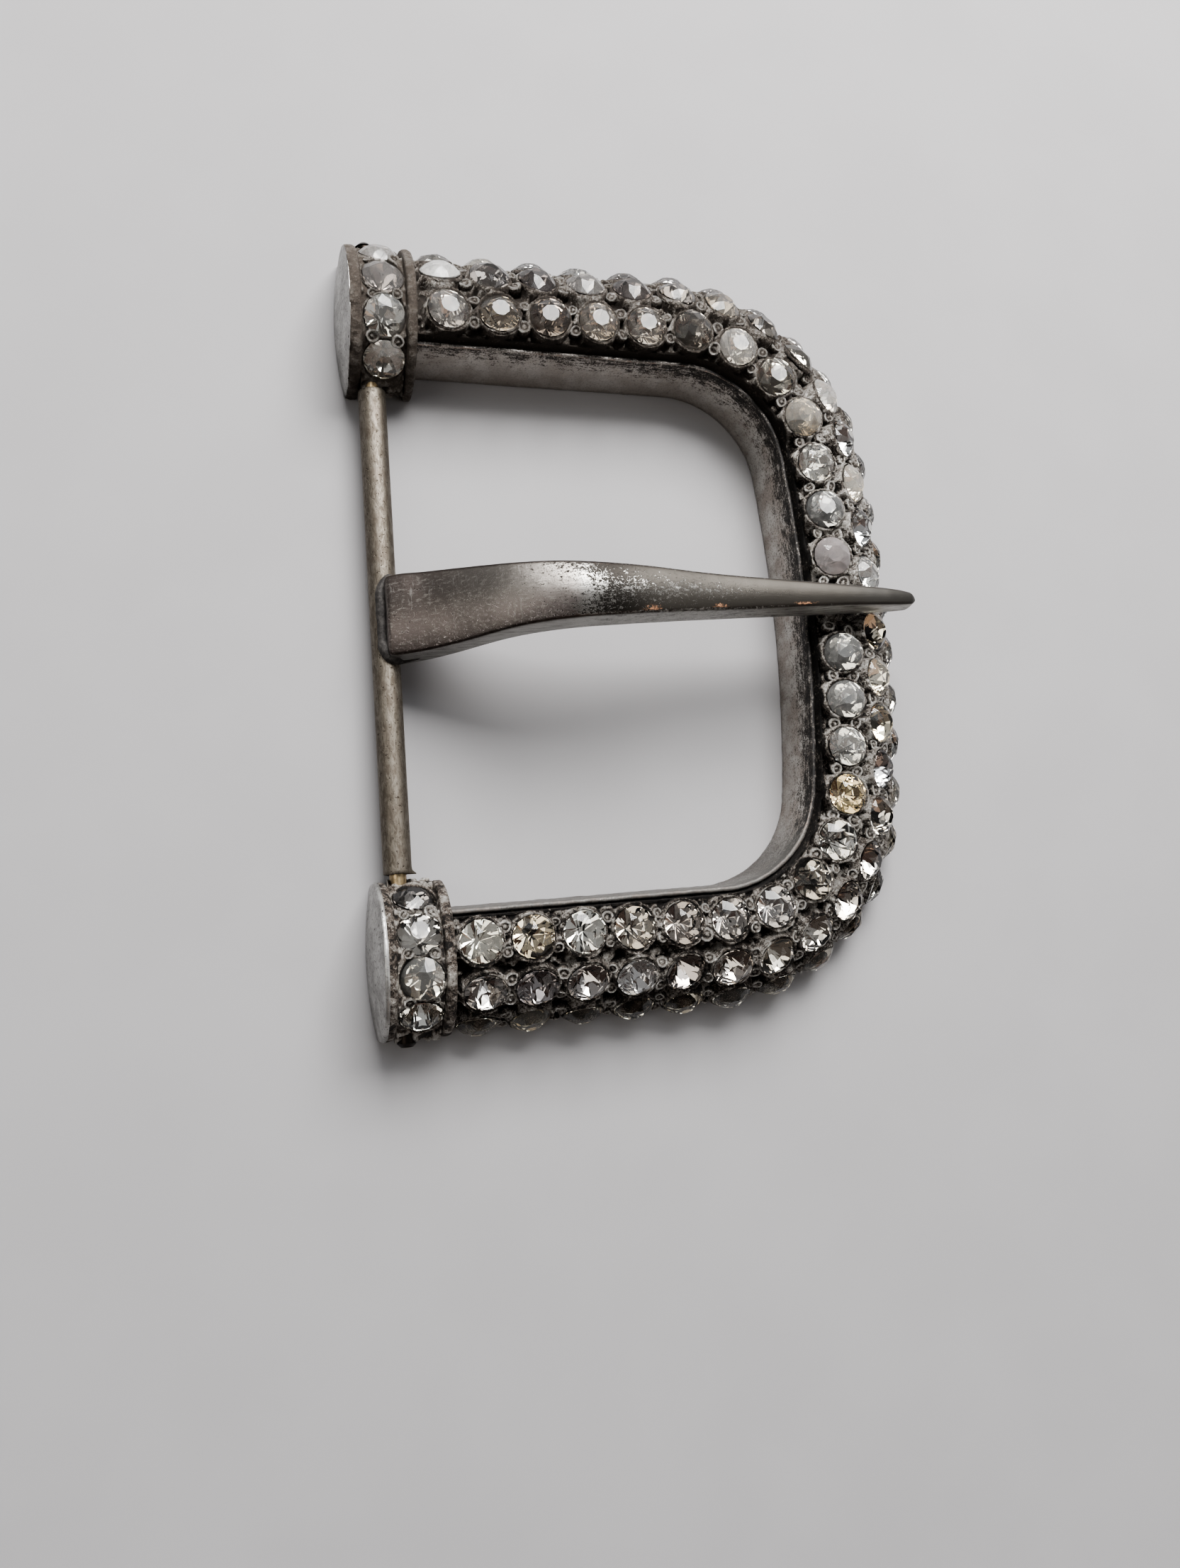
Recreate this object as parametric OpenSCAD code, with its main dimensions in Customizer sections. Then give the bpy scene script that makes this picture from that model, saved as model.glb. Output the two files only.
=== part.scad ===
// A three-row rhinestone belt buckle: a D-shaped cast frame with two soldered end caps,
// a pivot rod through the caps, and an arched tongue soldered to the sleeve that turns on it.
// Working frame: the pivot rod lies along Y at x = 0, the bar is at +X, the flat back is z = 0.

/* [Frame outline] */
// Half the width of the outline at the caps; the inner stones stand just outside it
rail_y = 29; // [28.5:0.1:29.5]
// How far each rail leans towards the middle on its way to the bar, in degrees
rail_lean = 1; // [0.5:0.1:1.5]
// From the pivot to the outline at the middle of the bar
bar_x = 43.7; // [43.2:0.1:44.2]
// Radius of the outline's corners
corner_r = 12.8; // [12:0.2:13.6]
// Radius of the bar's shallow bow, on the outline
bar_r = 150; // [130:5:200]

/* [Frame section] */
// Radius of the rounded metal bed that carries the three rows
bed_r = 7.9; // [7.8:0.05:8]
// The bed's centre, outwards from the outline
bed_u = 0.2; // [0.1:0.05:0.3]
// The bed's centre, above the flat back
bed_z = -0.6; // [-0.7:0.05:-0.5]
// Tilt of each row from straight up, outwards: inner, middle and outer row
row_tilts = [2, 35.5, 67.5];
// Foot of the inner wall, inwards from the outline
wall_foot = 3; // [2.9:0.05:3.2]
// Top of the inner wall, where a thin raised line runs round the opening
wall_top = 2.5; // [2.4:0.05:2.6]
// Height of that raised line
line_z = 6.1; // [5.9:0.1:6.3]

/* [Stones] */
// Diameter of every stone
stone_d = 3.9; // [3.7:0.05:3.9]
// Height of the crown, from the girdle to the table
crown_h = 0.8; // [0.7:0.05:0.9]
// Thickness of the girdle
girdle_h = 0.12; // [0.1:0.01:0.14]
// Depth of the pavilion, from the girdle to the point
pavilion_h = 1.8; // [1.7:0.05:1.9]
// Width of the table as a share of the stone
table_share = 0.52; // [0.48:0.01:0.58]
// Height of the girdle's top above the metal bed
stand_h = 0.5; // [0.45:0.05:0.6]
// Clearance between a stone and its seat
seat_gap = 0.12; // [0.1:0.01:0.15]

/* [End caps] */
// Half the distance between the middles of the two caps
cap_y = 30.6; // [30.5:0.1:30.8]
// Height of the caps' centre above the flat back
cap_z = 1.4; // [1.3:0.1:1.5]
// Radius of the two rims of a cap
rim_r = 7.2; // [7.1:0.05:7.3]
// Radius of the stone bed between the rims
cap_bed_r = 6; // [5.95:0.05:6.1]
// Where the outer rim starts, from the pivot
rim_left = -2; // [-2.1:0.05:-1.9]
// Width of the outer rim
rim_left_w = 0.9; // [0.8:0.05:1]
// Where the inner rim ends, from the pivot
rim_right = 4.05; // [4:0.05:4.1]
// Width of the inner rim
rim_right_w = 1.0; // [0.9:0.05:1.05]
// How far the smooth end face bulges past the outer rim
end_bulge = 1; // [0.8:0.1:1.2]
// Radius of the bulge of the end face
end_r = 36; // [32:1:40]

/* [Pivot and tongue] */
// Height of the pivot above the flat back
pivot_z = 2.6; // [2.5:0.05:2.7]
// Radius of the pivot rod
rod_r = 0.78; // [0.75:0.01:0.8]
// Running clearance of the sleeve on the rod
sleeve_gap = 0.08; // [0.05:0.01:0.1]
// Outer radius of the sleeve
sleeve_r = 1.3; // [1.25:0.01:1.32]
// Upper end of the sleeve, pushed up to the upper cap
sleeve_top = 23.2; // [23.1:0.05:23.25]
// Lower end of the sleeve, where a little of the rod shows
sleeve_low = -22.9; // [-23:0.05:-22.6]
// The tongue's middle line at its base and at its tip
tongue_y = [0.7, 1.3];
// Height of the pad in the inner row that the tongue rests on
rest_z = 7.75; // [7.7:0.05:7.8]

/* [Hidden] */

metal = "#8d8a84";
patina = "#6b6862";
rod_metal = "#8f7d63";
glass = "#e8ebee";

// Tongue sections, from base to tip. Columns: distance from the pivot, height of the top's
// two edges, width across the top, thickness.
SECTIONS = [
    [-0.8,  4.2, 5.6, 1.6],
    [-0.1,  4.6, 7.2, 2.2],
    [ 1.2,  5.2, 7.6, 2.9],
    [ 3.4,  6.2, 7.4, 3.2],
    [ 5.9,  7.8, 7.0, 3.2],
    [10.8, 11.2, 5.9, 3.2],
    [15.3, 12.7, 5.3, 3.1],
    [21.5, 12.8, 4.6, 3.0],
    [29.0, 11.8, 3.6, 2.8],
    [36.5, 11.1, 2.8, 2.7],
    [43.7, 10.5, 2.1, 2.6],
    [48.5,  9.9, 1.7, 2.2],
    [51.4,  9.2, 1.2, 1.6],
    [52.4,  8.7, 0.5, 0.8]];
X = 0;
EDGE_Z = 1;
WIDTH = 2;
THICK = 3;
slices_per_section = 3;
// Rise of the tongue's crowned top, as a share of its width
crown_share = 0.12;
// How much wider each side of the tongue is at the bottom
side_draft = 0.25;
crown_points = 7;

// Stone rows. Columns: stones above the middle of the bar, place of the first one, pitch,
// then the same below it. Places are measured along the row from the middle of the bar.
ROWS = [
    [12, 6.0, 4.88, 13, 3.8, 4.71],
    [14, 4.7, 4.81, 15, 1.3, 4.7],
    [15, 2.5, 4.96, 15, 2.5, 4.96]];
cap_stone_x = 1.03;
cap_angles = [-55, -20, 15, 50];

// Middle and radius of the pad under the tongue, and how deep it is rooted in the bed
rest_s = 1.1;
rest_r = 1.8;
rest_root = 2;

// Section of the groove and the raised line, all beside the inner wall
bed_edge = -1.75;
groove_u = -2.15;
groove_w = 0.2;
groove_depth = 0.45;
line_w = 0.22;
wall_lap = 0.1;

// Stone shape: place of the crown's main facets, and the seat's drilled tip and top
main_share = 0.8;
seat_tip_r = 0.15;
seat_top = -0.2;

$fn = 96;
// Facets round a full circle for the large arcs, so that short stretches stay smooth
large_arc_fn = 1440;
bulge_fn = 240;
tip_x = SECTIONS[len(SECTIONS) - 1][X];
end_x = rim_left - end_bulge;
mid_x = (tip_x + end_x) / 2;
bulge_z = 0.6;
bore_r = rod_r + sleeve_gap;
rod_fit = 0.03;
rod_end = 37.9;
head_r = 0.9;
head_h = 0.35;
head_tip_r = 0.55;
// Length of a drill that goes right through the part
drill_len = 100;

// The outline: a bar arc, a corner arc and a rail, each tangent to the next. The corner's
// centre is found from its distances to the bar's centre and to the rail.
bar_centre = bar_x - bar_r;
rail_angle = 90 - rail_lean;
rail_n = [cos(rail_angle), sin(rail_angle)];
rail_t = [sin(rail_angle), -cos(rail_angle)];
inset = rail_n * (rail_n * [rim_right, rail_y] - corner_r);
from_bar = inset - [bar_centre, 0];
along = -from_bar * rail_t + sqrt(pow(from_bar * rail_t, 2)
        - from_bar * from_bar + pow(bar_r - corner_r, 2));
corner_c = inset + rail_t * along;
bar_angle = atan2(corner_c[1], corner_c[0] - bar_centre);
corner_angle = rail_angle - bar_angle;
rail_end = corner_c + rail_n * corner_r;
bar_end = corner_c + [cos(bar_angle), sin(bar_angle)] * corner_r;
// Where two stretches meet, each stops short inside a piece that is a hair fuller
meet_len = 1;
meet_gap = 0.1;
meet_extra = 0.04;
corner_cut = 0.6;
// How far a rail and a cap's stone bed run into the cap's rims
rail_lap = 0.6;
bed_lap = 0.1;
rail_len = (rail_end[0] - rim_right + rail_lap) / rail_t[0];
rail_root = rail_end - rail_t * rail_len;
degrees = 180 / PI;

// Place of a stone at distance s along a row that lies u outside the outline:
// the point in plan and the direction that faces outwards there.
function bar_len(u) = (bar_r + u) * bar_angle / degrees;
function past_corner(u) = bar_len(u) + (corner_r + u) * corner_angle / degrees;
function facing(s, u) =
    s < bar_len(u) ? s / (bar_r + u) * degrees
    : s < past_corner(u) ? bar_angle + (s - bar_len(u)) / (corner_r + u) * degrees
    : rail_angle;
function spot(s, u) =
    let (a = facing(s, u), n = [cos(a), sin(a)])
    s < bar_len(u) ? [bar_centre, 0] + (bar_r + u) * n
    : s < past_corner(u) ? corner_c + (corner_r + u) * n
    : corner_c + (corner_r + u) * n - rail_t * (s - past_corner(u));

function row_u(row) = bed_u + (bed_r + stand_h) * sin(row_tilts[row]);
function row_z(row) = bed_z + (bed_r + stand_h) * cos(row_tilts[row]);

// Puts its children at the girdle of every stone of a row, facing outwards along the bed.
module along_row(row) {
    u = row_u(row);
    for (side = [0, 1], i = [0 : ROWS[row][3 * side] - 1]) {
        s = ROWS[row][3 * side + 1] + i * ROWS[row][3 * side + 2];
        p = spot(s, u);
        mirror([0, side, 0])
            translate([p[0], p[1], row_z(row)])
            rotate([0, row_tilts[row], facing(s, u)])
            children();
    }
}

// Puts its children at the girdle of each stone of a cap; side is 1 for the upper cap.
module along_cap(side) {
    for (a = cap_angles)
        mirror([0, side == 1 ? 0 : 1, 0])
        translate([cap_stone_x, cap_y, cap_z])
        rotate([-a, 0, 0])
        translate([0, 0, cap_bed_r + stand_h])
        children();
}

// A round stone with a table, a crown of star, main and girdle facets, and a pointed
// pavilion. Its origin is at the top of the girdle.
module stone() {
    r = stone_d / 2;
    table_r = r * table_share;
    main_r = r * main_share;
    main_z = crown_h * (r - main_r * cos(22.5)) / (r - table_r);
    points = concat(
        [for (i = [0:7]) [table_r * cos(45 * i), table_r * sin(45 * i), crown_h]],
        [for (i = [0:7]) [main_r * cos(45 * i + 22.5), main_r * sin(45 * i + 22.5), main_z]],
        [for (i = [0:15]) [r * cos(22.5 * i), r * sin(22.5 * i), 0]],
        [for (i = [0:15]) [r * cos(22.5 * i), r * sin(22.5 * i), -girdle_h]],
        [[0, 0, -girdle_h - pavilion_h]]);
    faces = concat(
        [[for (i = [7:-1:0]) i]],
        [for (i = [0:7]) [i, (i + 1) % 8, 8 + i]],
        [for (i = [0:7]) [i, 8 + i, 16 + 2 * i]],
        [for (i = [0:7]) [i, 16 + 2 * i, 8 + (i + 7) % 8]],
        [for (i = [0:7]) [8 + i, 17 + 2 * i, 16 + 2 * i]],
        [for (i = [0:7]) [8 + i, 16 + (2 * i + 2) % 16, 17 + 2 * i]],
        [for (i = [0:15]) [16 + i, 16 + (i + 1) % 16, 32 + (i + 1) % 16]],
        [for (i = [0:15]) [16 + i, 32 + (i + 1) % 16, 32 + i]],
        [for (i = [0:15]) [32 + i, 32 + (i + 1) % 16, 48]]);
    polyhedron(points, faces);
}

// The conical seat that a stone's pavilion sits in. It has the pavilion's slope, and lies a
// clearance outside it, measured square to the cone.
module seat() {
    slope = stone_d / 2 / pavilion_h;
    drop = seat_gap / sin(atan(slope));
    tip_z = -girdle_h - pavilion_h - drop + seat_tip_r / slope;
    seat_h = seat_top - tip_z;
    translate([0, 0, tip_z])
        cylinder(h = seat_h, r1 = seat_tip_r, r2 = seat_tip_r + seat_h * slope);
}

// The frame's cross-section: x is the distance outwards from the outline and y the height.
// A rounded bed, a groove, a thin raised line and a nearly upright inner wall.
// With extra above 0 the section is that much fuller all round. The wall's side of it runs a
// little way into the bed's.
module frame_section(extra = 0) {
    r = bed_r + extra;
    edge_u = bed_edge - extra;
    edge_z = bed_z + sqrt(pow(r, 2) - pow(edge_u - bed_u, 2));
    groove_z = line_z - groove_depth + extra;
    top_z = line_z + extra;
    intersection() {
        translate([bed_u, bed_z])
            circle(r = r);
        translate([edge_u, 0])
            square([2 * r, 2 * r]);
    }
    polygon([[-wall_foot - extra, 0], [edge_u + wall_lap, 0], [edge_u + wall_lap, edge_z],
             [groove_u + groove_w - extra, groove_z], [groove_u + extra, groove_z],
             [-wall_top + line_w + extra, top_z], [-wall_top - extra, top_z]]);
}

// A short stretch a hair fuller than its neighbours, centred on a point of the outline and
// facing outwards at the given angle. Two neighbouring stretches meet inside it.
module meeting(p, angle) {
    translate([p[0], p[1], 0])
        rotate([0, 0, angle])
        translate([0, meet_len / 2, 0])
        rotate([90, 0, 0])
        linear_extrude(meet_len)
        frame_section(meet_extra);
}

// Carries the section along one rail and round its corner.
module half_frame() {
    translate([rail_root[0], rail_root[1], 0])
        rotate([0, 0, -rail_lean])
        rotate([90, 0, 90])
        linear_extrude(rail_len - meet_gap)
        frame_section();
    translate([corner_c[0], corner_c[1], 0])
        rotate([0, 0, bar_angle + corner_cut])
        rotate_extrude(angle = corner_angle - 2 * corner_cut)
        translate([corner_r, 0])
        frame_section();
    meeting(rail_end, rail_angle);
    meeting(bar_end, bar_angle);
}

module bar() {
    translate([bar_centre, 0, 0])
        rotate([0, 0, -bar_angle])
        rotate_extrude(angle = 2 * bar_angle, $fn = large_arc_fn)
        translate([bar_r, 0])
        frame_section();
}

// A round of the given radius across the rail direction, cut flat at the back.
module cap_round(r, x0, x1) {
    translate([x0, cap_y, 0])
        rotate([90, 0, 90])
        linear_extrude(x1 - x0)
        intersection() {
            translate([0, cap_z])
                circle(r = r);
            translate([-r, 0])
                square([2 * r, 2 * r]);
        }
}

// An end cap: a stone bed between two rims, with a smooth bulging end face.
module cap() {
    cap_round(cap_bed_r, rim_left + bed_lap, rim_right - bed_lap);
    cap_round(rim_r, rim_right - rim_right_w, rim_right);
    intersection() {
        cap_round(rim_r, end_x, rim_left + rim_left_w);
        translate([end_x + end_r, cap_y, bulge_z])
            sphere(r = end_r, $fn = bulge_fn);
    }
}

module frame() color(metal) difference() {
    union() {
        for (side = [0, 1])
            mirror([0, side, 0]) {
                half_frame();
                cap();
            }
        bar();
        tongue_pad();
    }
    for (row = [0 : 2])
        along_row(row)
            seat();
    for (side = [0, 1])
        along_cap(side)
            seat();
    translate([0, 0, pivot_z])
        rotate([90, 0, 0])
        cylinder(h = drill_len, r = rod_r + rod_fit, center = true);
}

// The plain pad that takes the place of one inner stone under the tongue.
module tongue_pad() {
    p = spot(rest_s, 0);
    root_z = bed_z + bed_r - rest_root;
    translate([p[0], p[1], root_z])
        cylinder(h = rest_z - root_z, r = rest_r);
}

// The rod, with its two ends spread a little into low heads outside the caps.
module hinge_rod() color(rod_metal) translate([0, 0, pivot_z]) rotate([90, 0, 0]) {
    cylinder(h = 2 * rod_end, r = rod_r, center = true);
    for (side = [0, 1])
        mirror([0, 0, side])
        translate([0, 0, rod_end])
        cylinder(h = head_h, r1 = head_r, r2 = head_tip_r);
}

// A smooth curve through the rows of SECTIONS: cubic, with slopes from the neighbours.
function slope_at(i, col) =
    let (a = max(i - 1, 0), b = min(i + 1, len(SECTIONS) - 1))
    (SECTIONS[b][col] - SECTIONS[a][col]) / (SECTIONS[b][X] - SECTIONS[a][X]);
function between(i, t, col) =
    let (w = SECTIONS[i + 1][X] - SECTIONS[i][X])
    (2 * pow(t, 3) - 3 * pow(t, 2) + 1) * SECTIONS[i][col]
    + (pow(t, 3) - 2 * pow(t, 2) + t) * w * slope_at(i, col)
    + (3 * pow(t, 2) - 2 * pow(t, 3)) * SECTIONS[i + 1][col]
    + (pow(t, 3) - pow(t, 2)) * w * slope_at(i + 1, col);

// One ring of the tongue: the crowned top from one side to the other, then the underside.
function ring(x, edge_z, width, thick) =
    let (y0 = tongue_y[0] + (tongue_y[1] - tongue_y[0]) * x / tip_x, crown = crown_share * width)
    concat(
        [for (k = [0 : crown_points - 1])
            let (q = 1 - 2 * k / (crown_points - 1))
            [x, y0 + q * width / 2, edge_z + crown * (1 - q * q)]],
        [[x, y0 - width / 2 - side_draft, edge_z - thick],
         [x, y0 + width / 2 + side_draft, edge_z - thick]]);

function tongue_rings() = [
    for (i = [0 : len(SECTIONS) - 2], k = [0 : slices_per_section - 1])
        let (t = k / slices_per_section, x = SECTIONS[i][X]
             + t * (SECTIONS[i + 1][X] - SECTIONS[i][X]))
        ring(x, between(i, t, EDGE_Z), between(i, t, WIDTH), between(i, t, THICK)),
    let (last = SECTIONS[len(SECTIONS) - 1])
        ring(last[X], last[EDGE_Z], last[WIDTH], last[THICK])];

module tongue_body() {
    rings = tongue_rings();
    n = len(rings[0]);
    m = len(rings);
    sides = [for (j = [0 : m - 2], k = [0 : n - 1])
        let (a = j * n + k, b = j * n + (k + 1) % n)
        each [[a, b + n, b], [a, a + n, b + n]]];
    polyhedron([for (r = rings) each r],
               concat([[for (k = [0 : n - 1]) k]], sides,
                      [[for (k = [n - 1 : -1 : 0]) (m - 1) * n + k]]));
}

// The tongue and the sleeve that it is soldered to, with the bore that turns on the rod.
module tongue() color(patina) difference() {
    union() {
        tongue_body();
        translate([0, sleeve_top, pivot_z])
            rotate([90, 0, 0])
            cylinder(h = sleeve_top - sleeve_low, r = sleeve_r);
    }
    translate([0, 0, pivot_z])
        rotate([90, 0, 0])
        cylinder(h = drill_len, r = bore_r, center = true);
}

module inner_row_stones() color(glass) along_row(0) stone();
module middle_row_stones() color(glass) along_row(1) stone();
module outer_row_stones() color(glass) along_row(2) stone();
module upper_cap_stones() color(glass) along_cap(1) stone();
module lower_cap_stones() color(glass) along_cap(0) stone();

translate([-mid_x, 0, 0]) {
    frame();
    hinge_rod();
    tongue();
    inner_row_stones();
    middle_row_stones();
    outer_row_stones();
    upper_cap_stones();
    lower_cap_stones();
}
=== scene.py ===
# %% [markdown]
# # A rhinestone belt buckle
# The buckle is an old costume piece: a D-shaped body of cast white metal, three rows of foil
# backed glass stones, two domed end caps, and a plated tongue soldered to a thin sleeve that
# turns on a brass rod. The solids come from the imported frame. This lesson gives each of them
# its real surface: cast and blackened metal, beaded prongs, cut glass, and worn plating.
# The shapes below are measured in millimetres from the rod, with X towards the bar, Y along
# the rod and Z up. The function that makes the pieces turns them into metres.

# %% Load the frame
import math

import bpy
import numpy as np
from mathutils import Matrix, Vector


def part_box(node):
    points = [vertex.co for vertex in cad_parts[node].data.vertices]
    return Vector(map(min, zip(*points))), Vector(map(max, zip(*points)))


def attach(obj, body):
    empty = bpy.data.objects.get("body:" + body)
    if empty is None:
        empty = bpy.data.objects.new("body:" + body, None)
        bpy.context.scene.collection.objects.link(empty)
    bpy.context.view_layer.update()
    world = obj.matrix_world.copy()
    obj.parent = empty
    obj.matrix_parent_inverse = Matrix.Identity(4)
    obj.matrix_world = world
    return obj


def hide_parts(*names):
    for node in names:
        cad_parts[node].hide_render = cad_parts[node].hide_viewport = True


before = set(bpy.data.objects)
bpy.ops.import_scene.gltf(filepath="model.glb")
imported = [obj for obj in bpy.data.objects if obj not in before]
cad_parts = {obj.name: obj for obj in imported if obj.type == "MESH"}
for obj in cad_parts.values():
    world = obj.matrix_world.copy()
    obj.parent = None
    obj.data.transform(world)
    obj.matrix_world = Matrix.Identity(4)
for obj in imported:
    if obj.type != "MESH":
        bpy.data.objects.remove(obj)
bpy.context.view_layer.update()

MM = 0.001
rod_low, rod_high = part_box("hinge_rod")
ROD = np.array([(rod_low.x + rod_high.x) / 2, 0.0, 0.0]) / MM

# %% [markdown]
# ## Camera
# The photo was taken by hand from above the rod, a little towards the lower left, with the
# buckle nearly square to the lens. The three directions below are the camera's own right, up
# and back, so no aiming constraint is needed. The lens is given as the photo gave it: its
# focal length and the picture's width, both in pixels.

# %% Camera
CAMERA_AT = np.array([-12.92, -29.96, 112.45])
CAMERA_RIGHT = (0.9609, -0.0744, 0.2668)
CAMERA_UP = (0.0369, 0.9891, 0.1428)
CAMERA_BACK = (-0.2745, -0.1274, 0.9531)
FOCAL_LENGTH, PICTURE_WIDTH = 1700, 1665
SENSOR = 36.0

camera_data = bpy.data.cameras.new("camera")
camera_data.sensor_fit = "HORIZONTAL"
camera_data.sensor_width = SENSOR
camera_data.lens = SENSOR * FOCAL_LENGTH / PICTURE_WIDTH
camera_data.clip_start = 0.005
camera = bpy.data.objects.new("camera", camera_data)
turn = Matrix((CAMERA_RIGHT, CAMERA_UP, CAMERA_BACK)).transposed()
camera.matrix_world = Matrix.Translation(Vector((CAMERA_AT + ROD) * MM)) @ turn.to_4x4()
bpy.context.scene.collection.objects.link(camera)
bpy.context.scene.camera = camera
print("camera", [round(v, 4) for v in camera.location])

# %% [markdown]
# ## The outline that everything follows
# The outline runs along a shallow bow, a corner and a straight rail, each tangent to the next,
# and the other half mirrors it. A place on any stone row is then a distance from the middle of
# the bar and an offset outwards, and whole arrays of places are worked out at once.

# %% Outline of the frame
RAIL_Y, RAIL_LEAN = 29.0, 1.0
BAR_X, BAR_R, CORNER_R = 43.7, 150.0, 12.8
RIM_RIGHT = 4.05

rail_angle = math.radians(90 - RAIL_LEAN)
rail_out = np.array([math.cos(rail_angle), math.sin(rail_angle)])
rail_along = np.array([math.sin(rail_angle), -math.cos(rail_angle)])
bar_centre = np.array([BAR_X - BAR_R, 0.0])
inset = rail_out * (rail_out @ np.array([RIM_RIGHT, RAIL_Y]) - CORNER_R)
reach = inset - bar_centre
along = -reach @ rail_along + math.sqrt(
    (reach @ rail_along) ** 2 - reach @ reach + (BAR_R - CORNER_R) ** 2)
corner_centre = inset + rail_along * along
bar_angle = math.atan2(corner_centre[1], corner_centre[0] - bar_centre[0])


def place_on_outline(s, u):
    """Plan points and outward directions at distances s along the row that lies u outside the
    outline. Up to the bar's end the angle is s over the bar's radius, then the rest over the
    corner's radius, and past the corner the angle stays and the point slides along the rail.
    Negative distances are the mirror image."""
    t = np.abs(s)
    bar_len = (BAR_R + u) * bar_angle
    past = bar_len + (CORNER_R + u) * (rail_angle - bar_angle)
    on_bar = t < bar_len
    angle = np.where(on_bar, t / (BAR_R + u),
                     np.minimum(bar_angle + (t - bar_len) / (CORNER_R + u), rail_angle))
    out = np.stack([np.cos(angle), np.sin(angle)], -1)
    centre = np.where(on_bar[..., None], bar_centre, corner_centre)
    radius = np.where(on_bar, BAR_R, CORNER_R) + u
    point = centre + radius[..., None] * out
    point = point - rail_along * np.maximum(t - past, 0)[..., None]
    flip = np.stack([np.ones_like(t), np.sign(s) + (s == 0)], -1)
    return point * flip, out * flip


corner_end = BAR_R * bar_angle + CORNER_R * (rail_angle - bar_angle)
rail_start = place_on_outline(np.array([corner_end]), 0.0)[0][0]
RAIL_LEN = (rail_start[0] - RIM_RIGHT) / rail_along[0]
HALF_LEN = corner_end + RAIL_LEN
print("half of the outline is", round(HALF_LEN, 2), "mm long")

# %% [markdown]
# ## Where every stone sits
# A setter drills the seats by eye, so the rows aren't quite even. Each stone gets its place on
# the bed, the direction that it faces, and a small lean and turn of its own. The same table
# then places the stones, the cups round them and the beads between them.

# %% Stone places
BED_R, BED_U, BED_Z = 7.9, 0.2, -0.6
STAND = 0.5
STONE_D = 3.9
STONE_R = STONE_D / 2
ROW_TILTS = np.radians([2.0, 35.5, 67.5])
# Each row: how many stones lie above the middle of the bar and how many below it, and for
# each half how far along the first one sits and the spacing of the others.
ROWS = [dict(up=12, up_first=6.0, up_pitch=4.88, down=13, down_first=3.8, down_pitch=4.71),
        dict(up=14, up_first=4.7, up_pitch=4.81, down=15, down_first=1.3, down_pitch=4.7),
        dict(up=15, up_first=2.5, up_pitch=4.96, down=15, down_first=2.5, down_pitch=4.96)]
ROW_NAMES = ["inner", "middle", "outer"]
CAP_Y, CAP_Z, CAP_BED_R, CAP_STONE_X = 30.6, 1.4, 6.0, 1.03
CAP_ANGLES = np.radians([-55.0, -20.0, 15.0, 50.0])
INNER_LEAN, STONE_LEAN = math.radians(7), math.radians(4.2)
BAR_END = 22


def ease(x, low, high):
    """0 below low, 1 above high, and a smooth step between them."""
    t = np.clip((x - low) / (high - low), 0, 1)
    return t * t * (3 - 2 * t)


def unit(vectors):
    """The same directions with a length of one: each row is divided by its own length."""
    return vectors / np.linalg.norm(vectors, axis=1, keepdims=True)


def row_stations(row):
    """Distances along a row, from the far end of the lower half to the end of the upper one."""
    r = ROWS[row]
    up = r["up_first"] + r["up_pitch"] * np.arange(r["up"])
    down = r["down_first"] + r["down_pitch"] * np.arange(r["down"])
    return np.concatenate([-down[::-1], up])


def on_bed(s, tilt, height, row_u=None):
    """Points at the given height above the bed, and the directions square to the bed there:
    the bed is a round of one radius, so a tilt turns both about its centre line. Distances
    run along the points' own line, or along the line that lies row_u outside the outline."""
    u = BED_U + (BED_R + height) * np.sin(tilt)
    z = BED_Z + (BED_R + height) * np.cos(tilt) + 0 * s
    line = u if row_u is None else row_u
    plan, out = place_on_outline(s, line)
    plan = plan + out * (u - line + 0 * s)[:, None]
    points = np.concatenate([plan, z[:, None]], 1)
    facing = np.concatenate([out * (np.sin(tilt) + 0 * s)[:, None],
                             (np.cos(tilt) + 0 * s)[:, None]], 1)
    return points, facing


def on_cap(side, angles, height, x=CAP_STONE_X):
    """The same for a cap: a round bed about a line that runs along X."""
    sin, cos = np.sin(angles), np.cos(angles)
    radius = CAP_BED_R + height
    points = np.stack([np.full(len(angles), x), side * (CAP_Y + radius * sin),
                       CAP_Z + radius * cos], 1)
    facing = np.stack([np.zeros(len(angles)), side * sin, cos], 1)
    return points, facing


stone_sets = {}
for row, name in enumerate(ROW_NAMES):
    stone_sets[name + "_row_stones"] = on_bed(row_stations(row), ROW_TILTS[row], STAND)
stone_sets["upper_cap_stones"] = on_cap(1, CAP_ANGLES, STAND)
stone_sets["lower_cap_stones"] = on_cap(-1, CAP_ANGLES, STAND)
random = np.random.default_rng(99)
leaning = {}
for row, name in enumerate(ROW_NAMES):
    on_bar = 1 - ease(np.abs(row_stations(row)), BAR_END, BAR_END + 12)
    leaning[name + "_row_stones"] = on_bed(
        row_stations(row), ROW_TILTS[row] - INNER_LEAN * on_bar * (row == 0), STAND)[1]
for name, (points, facing) in stone_sets.items():
    facing = leaning.get(name, facing)
    leaning[name] = unit(facing + random.normal(0, STONE_LEAN, facing.shape))
    middle = (np.array(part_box(name)[0]) + np.array(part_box(name)[1])) / 2 / MM - ROD
    drift = np.abs((points.min(0) + points.max(0)) / 2 - middle).max()
    print(name, len(points), "stones, box middle within", round(float(drift), 2), "mm")

# %% [markdown]
# ## Turning arrays into meshes
# Each piece is one grid of points, or one small shape copied to many places. These few helpers
# build the faces, give each piece its smooth shading and its own per-point numbers, and put
# the result on the body that carries it.

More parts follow.
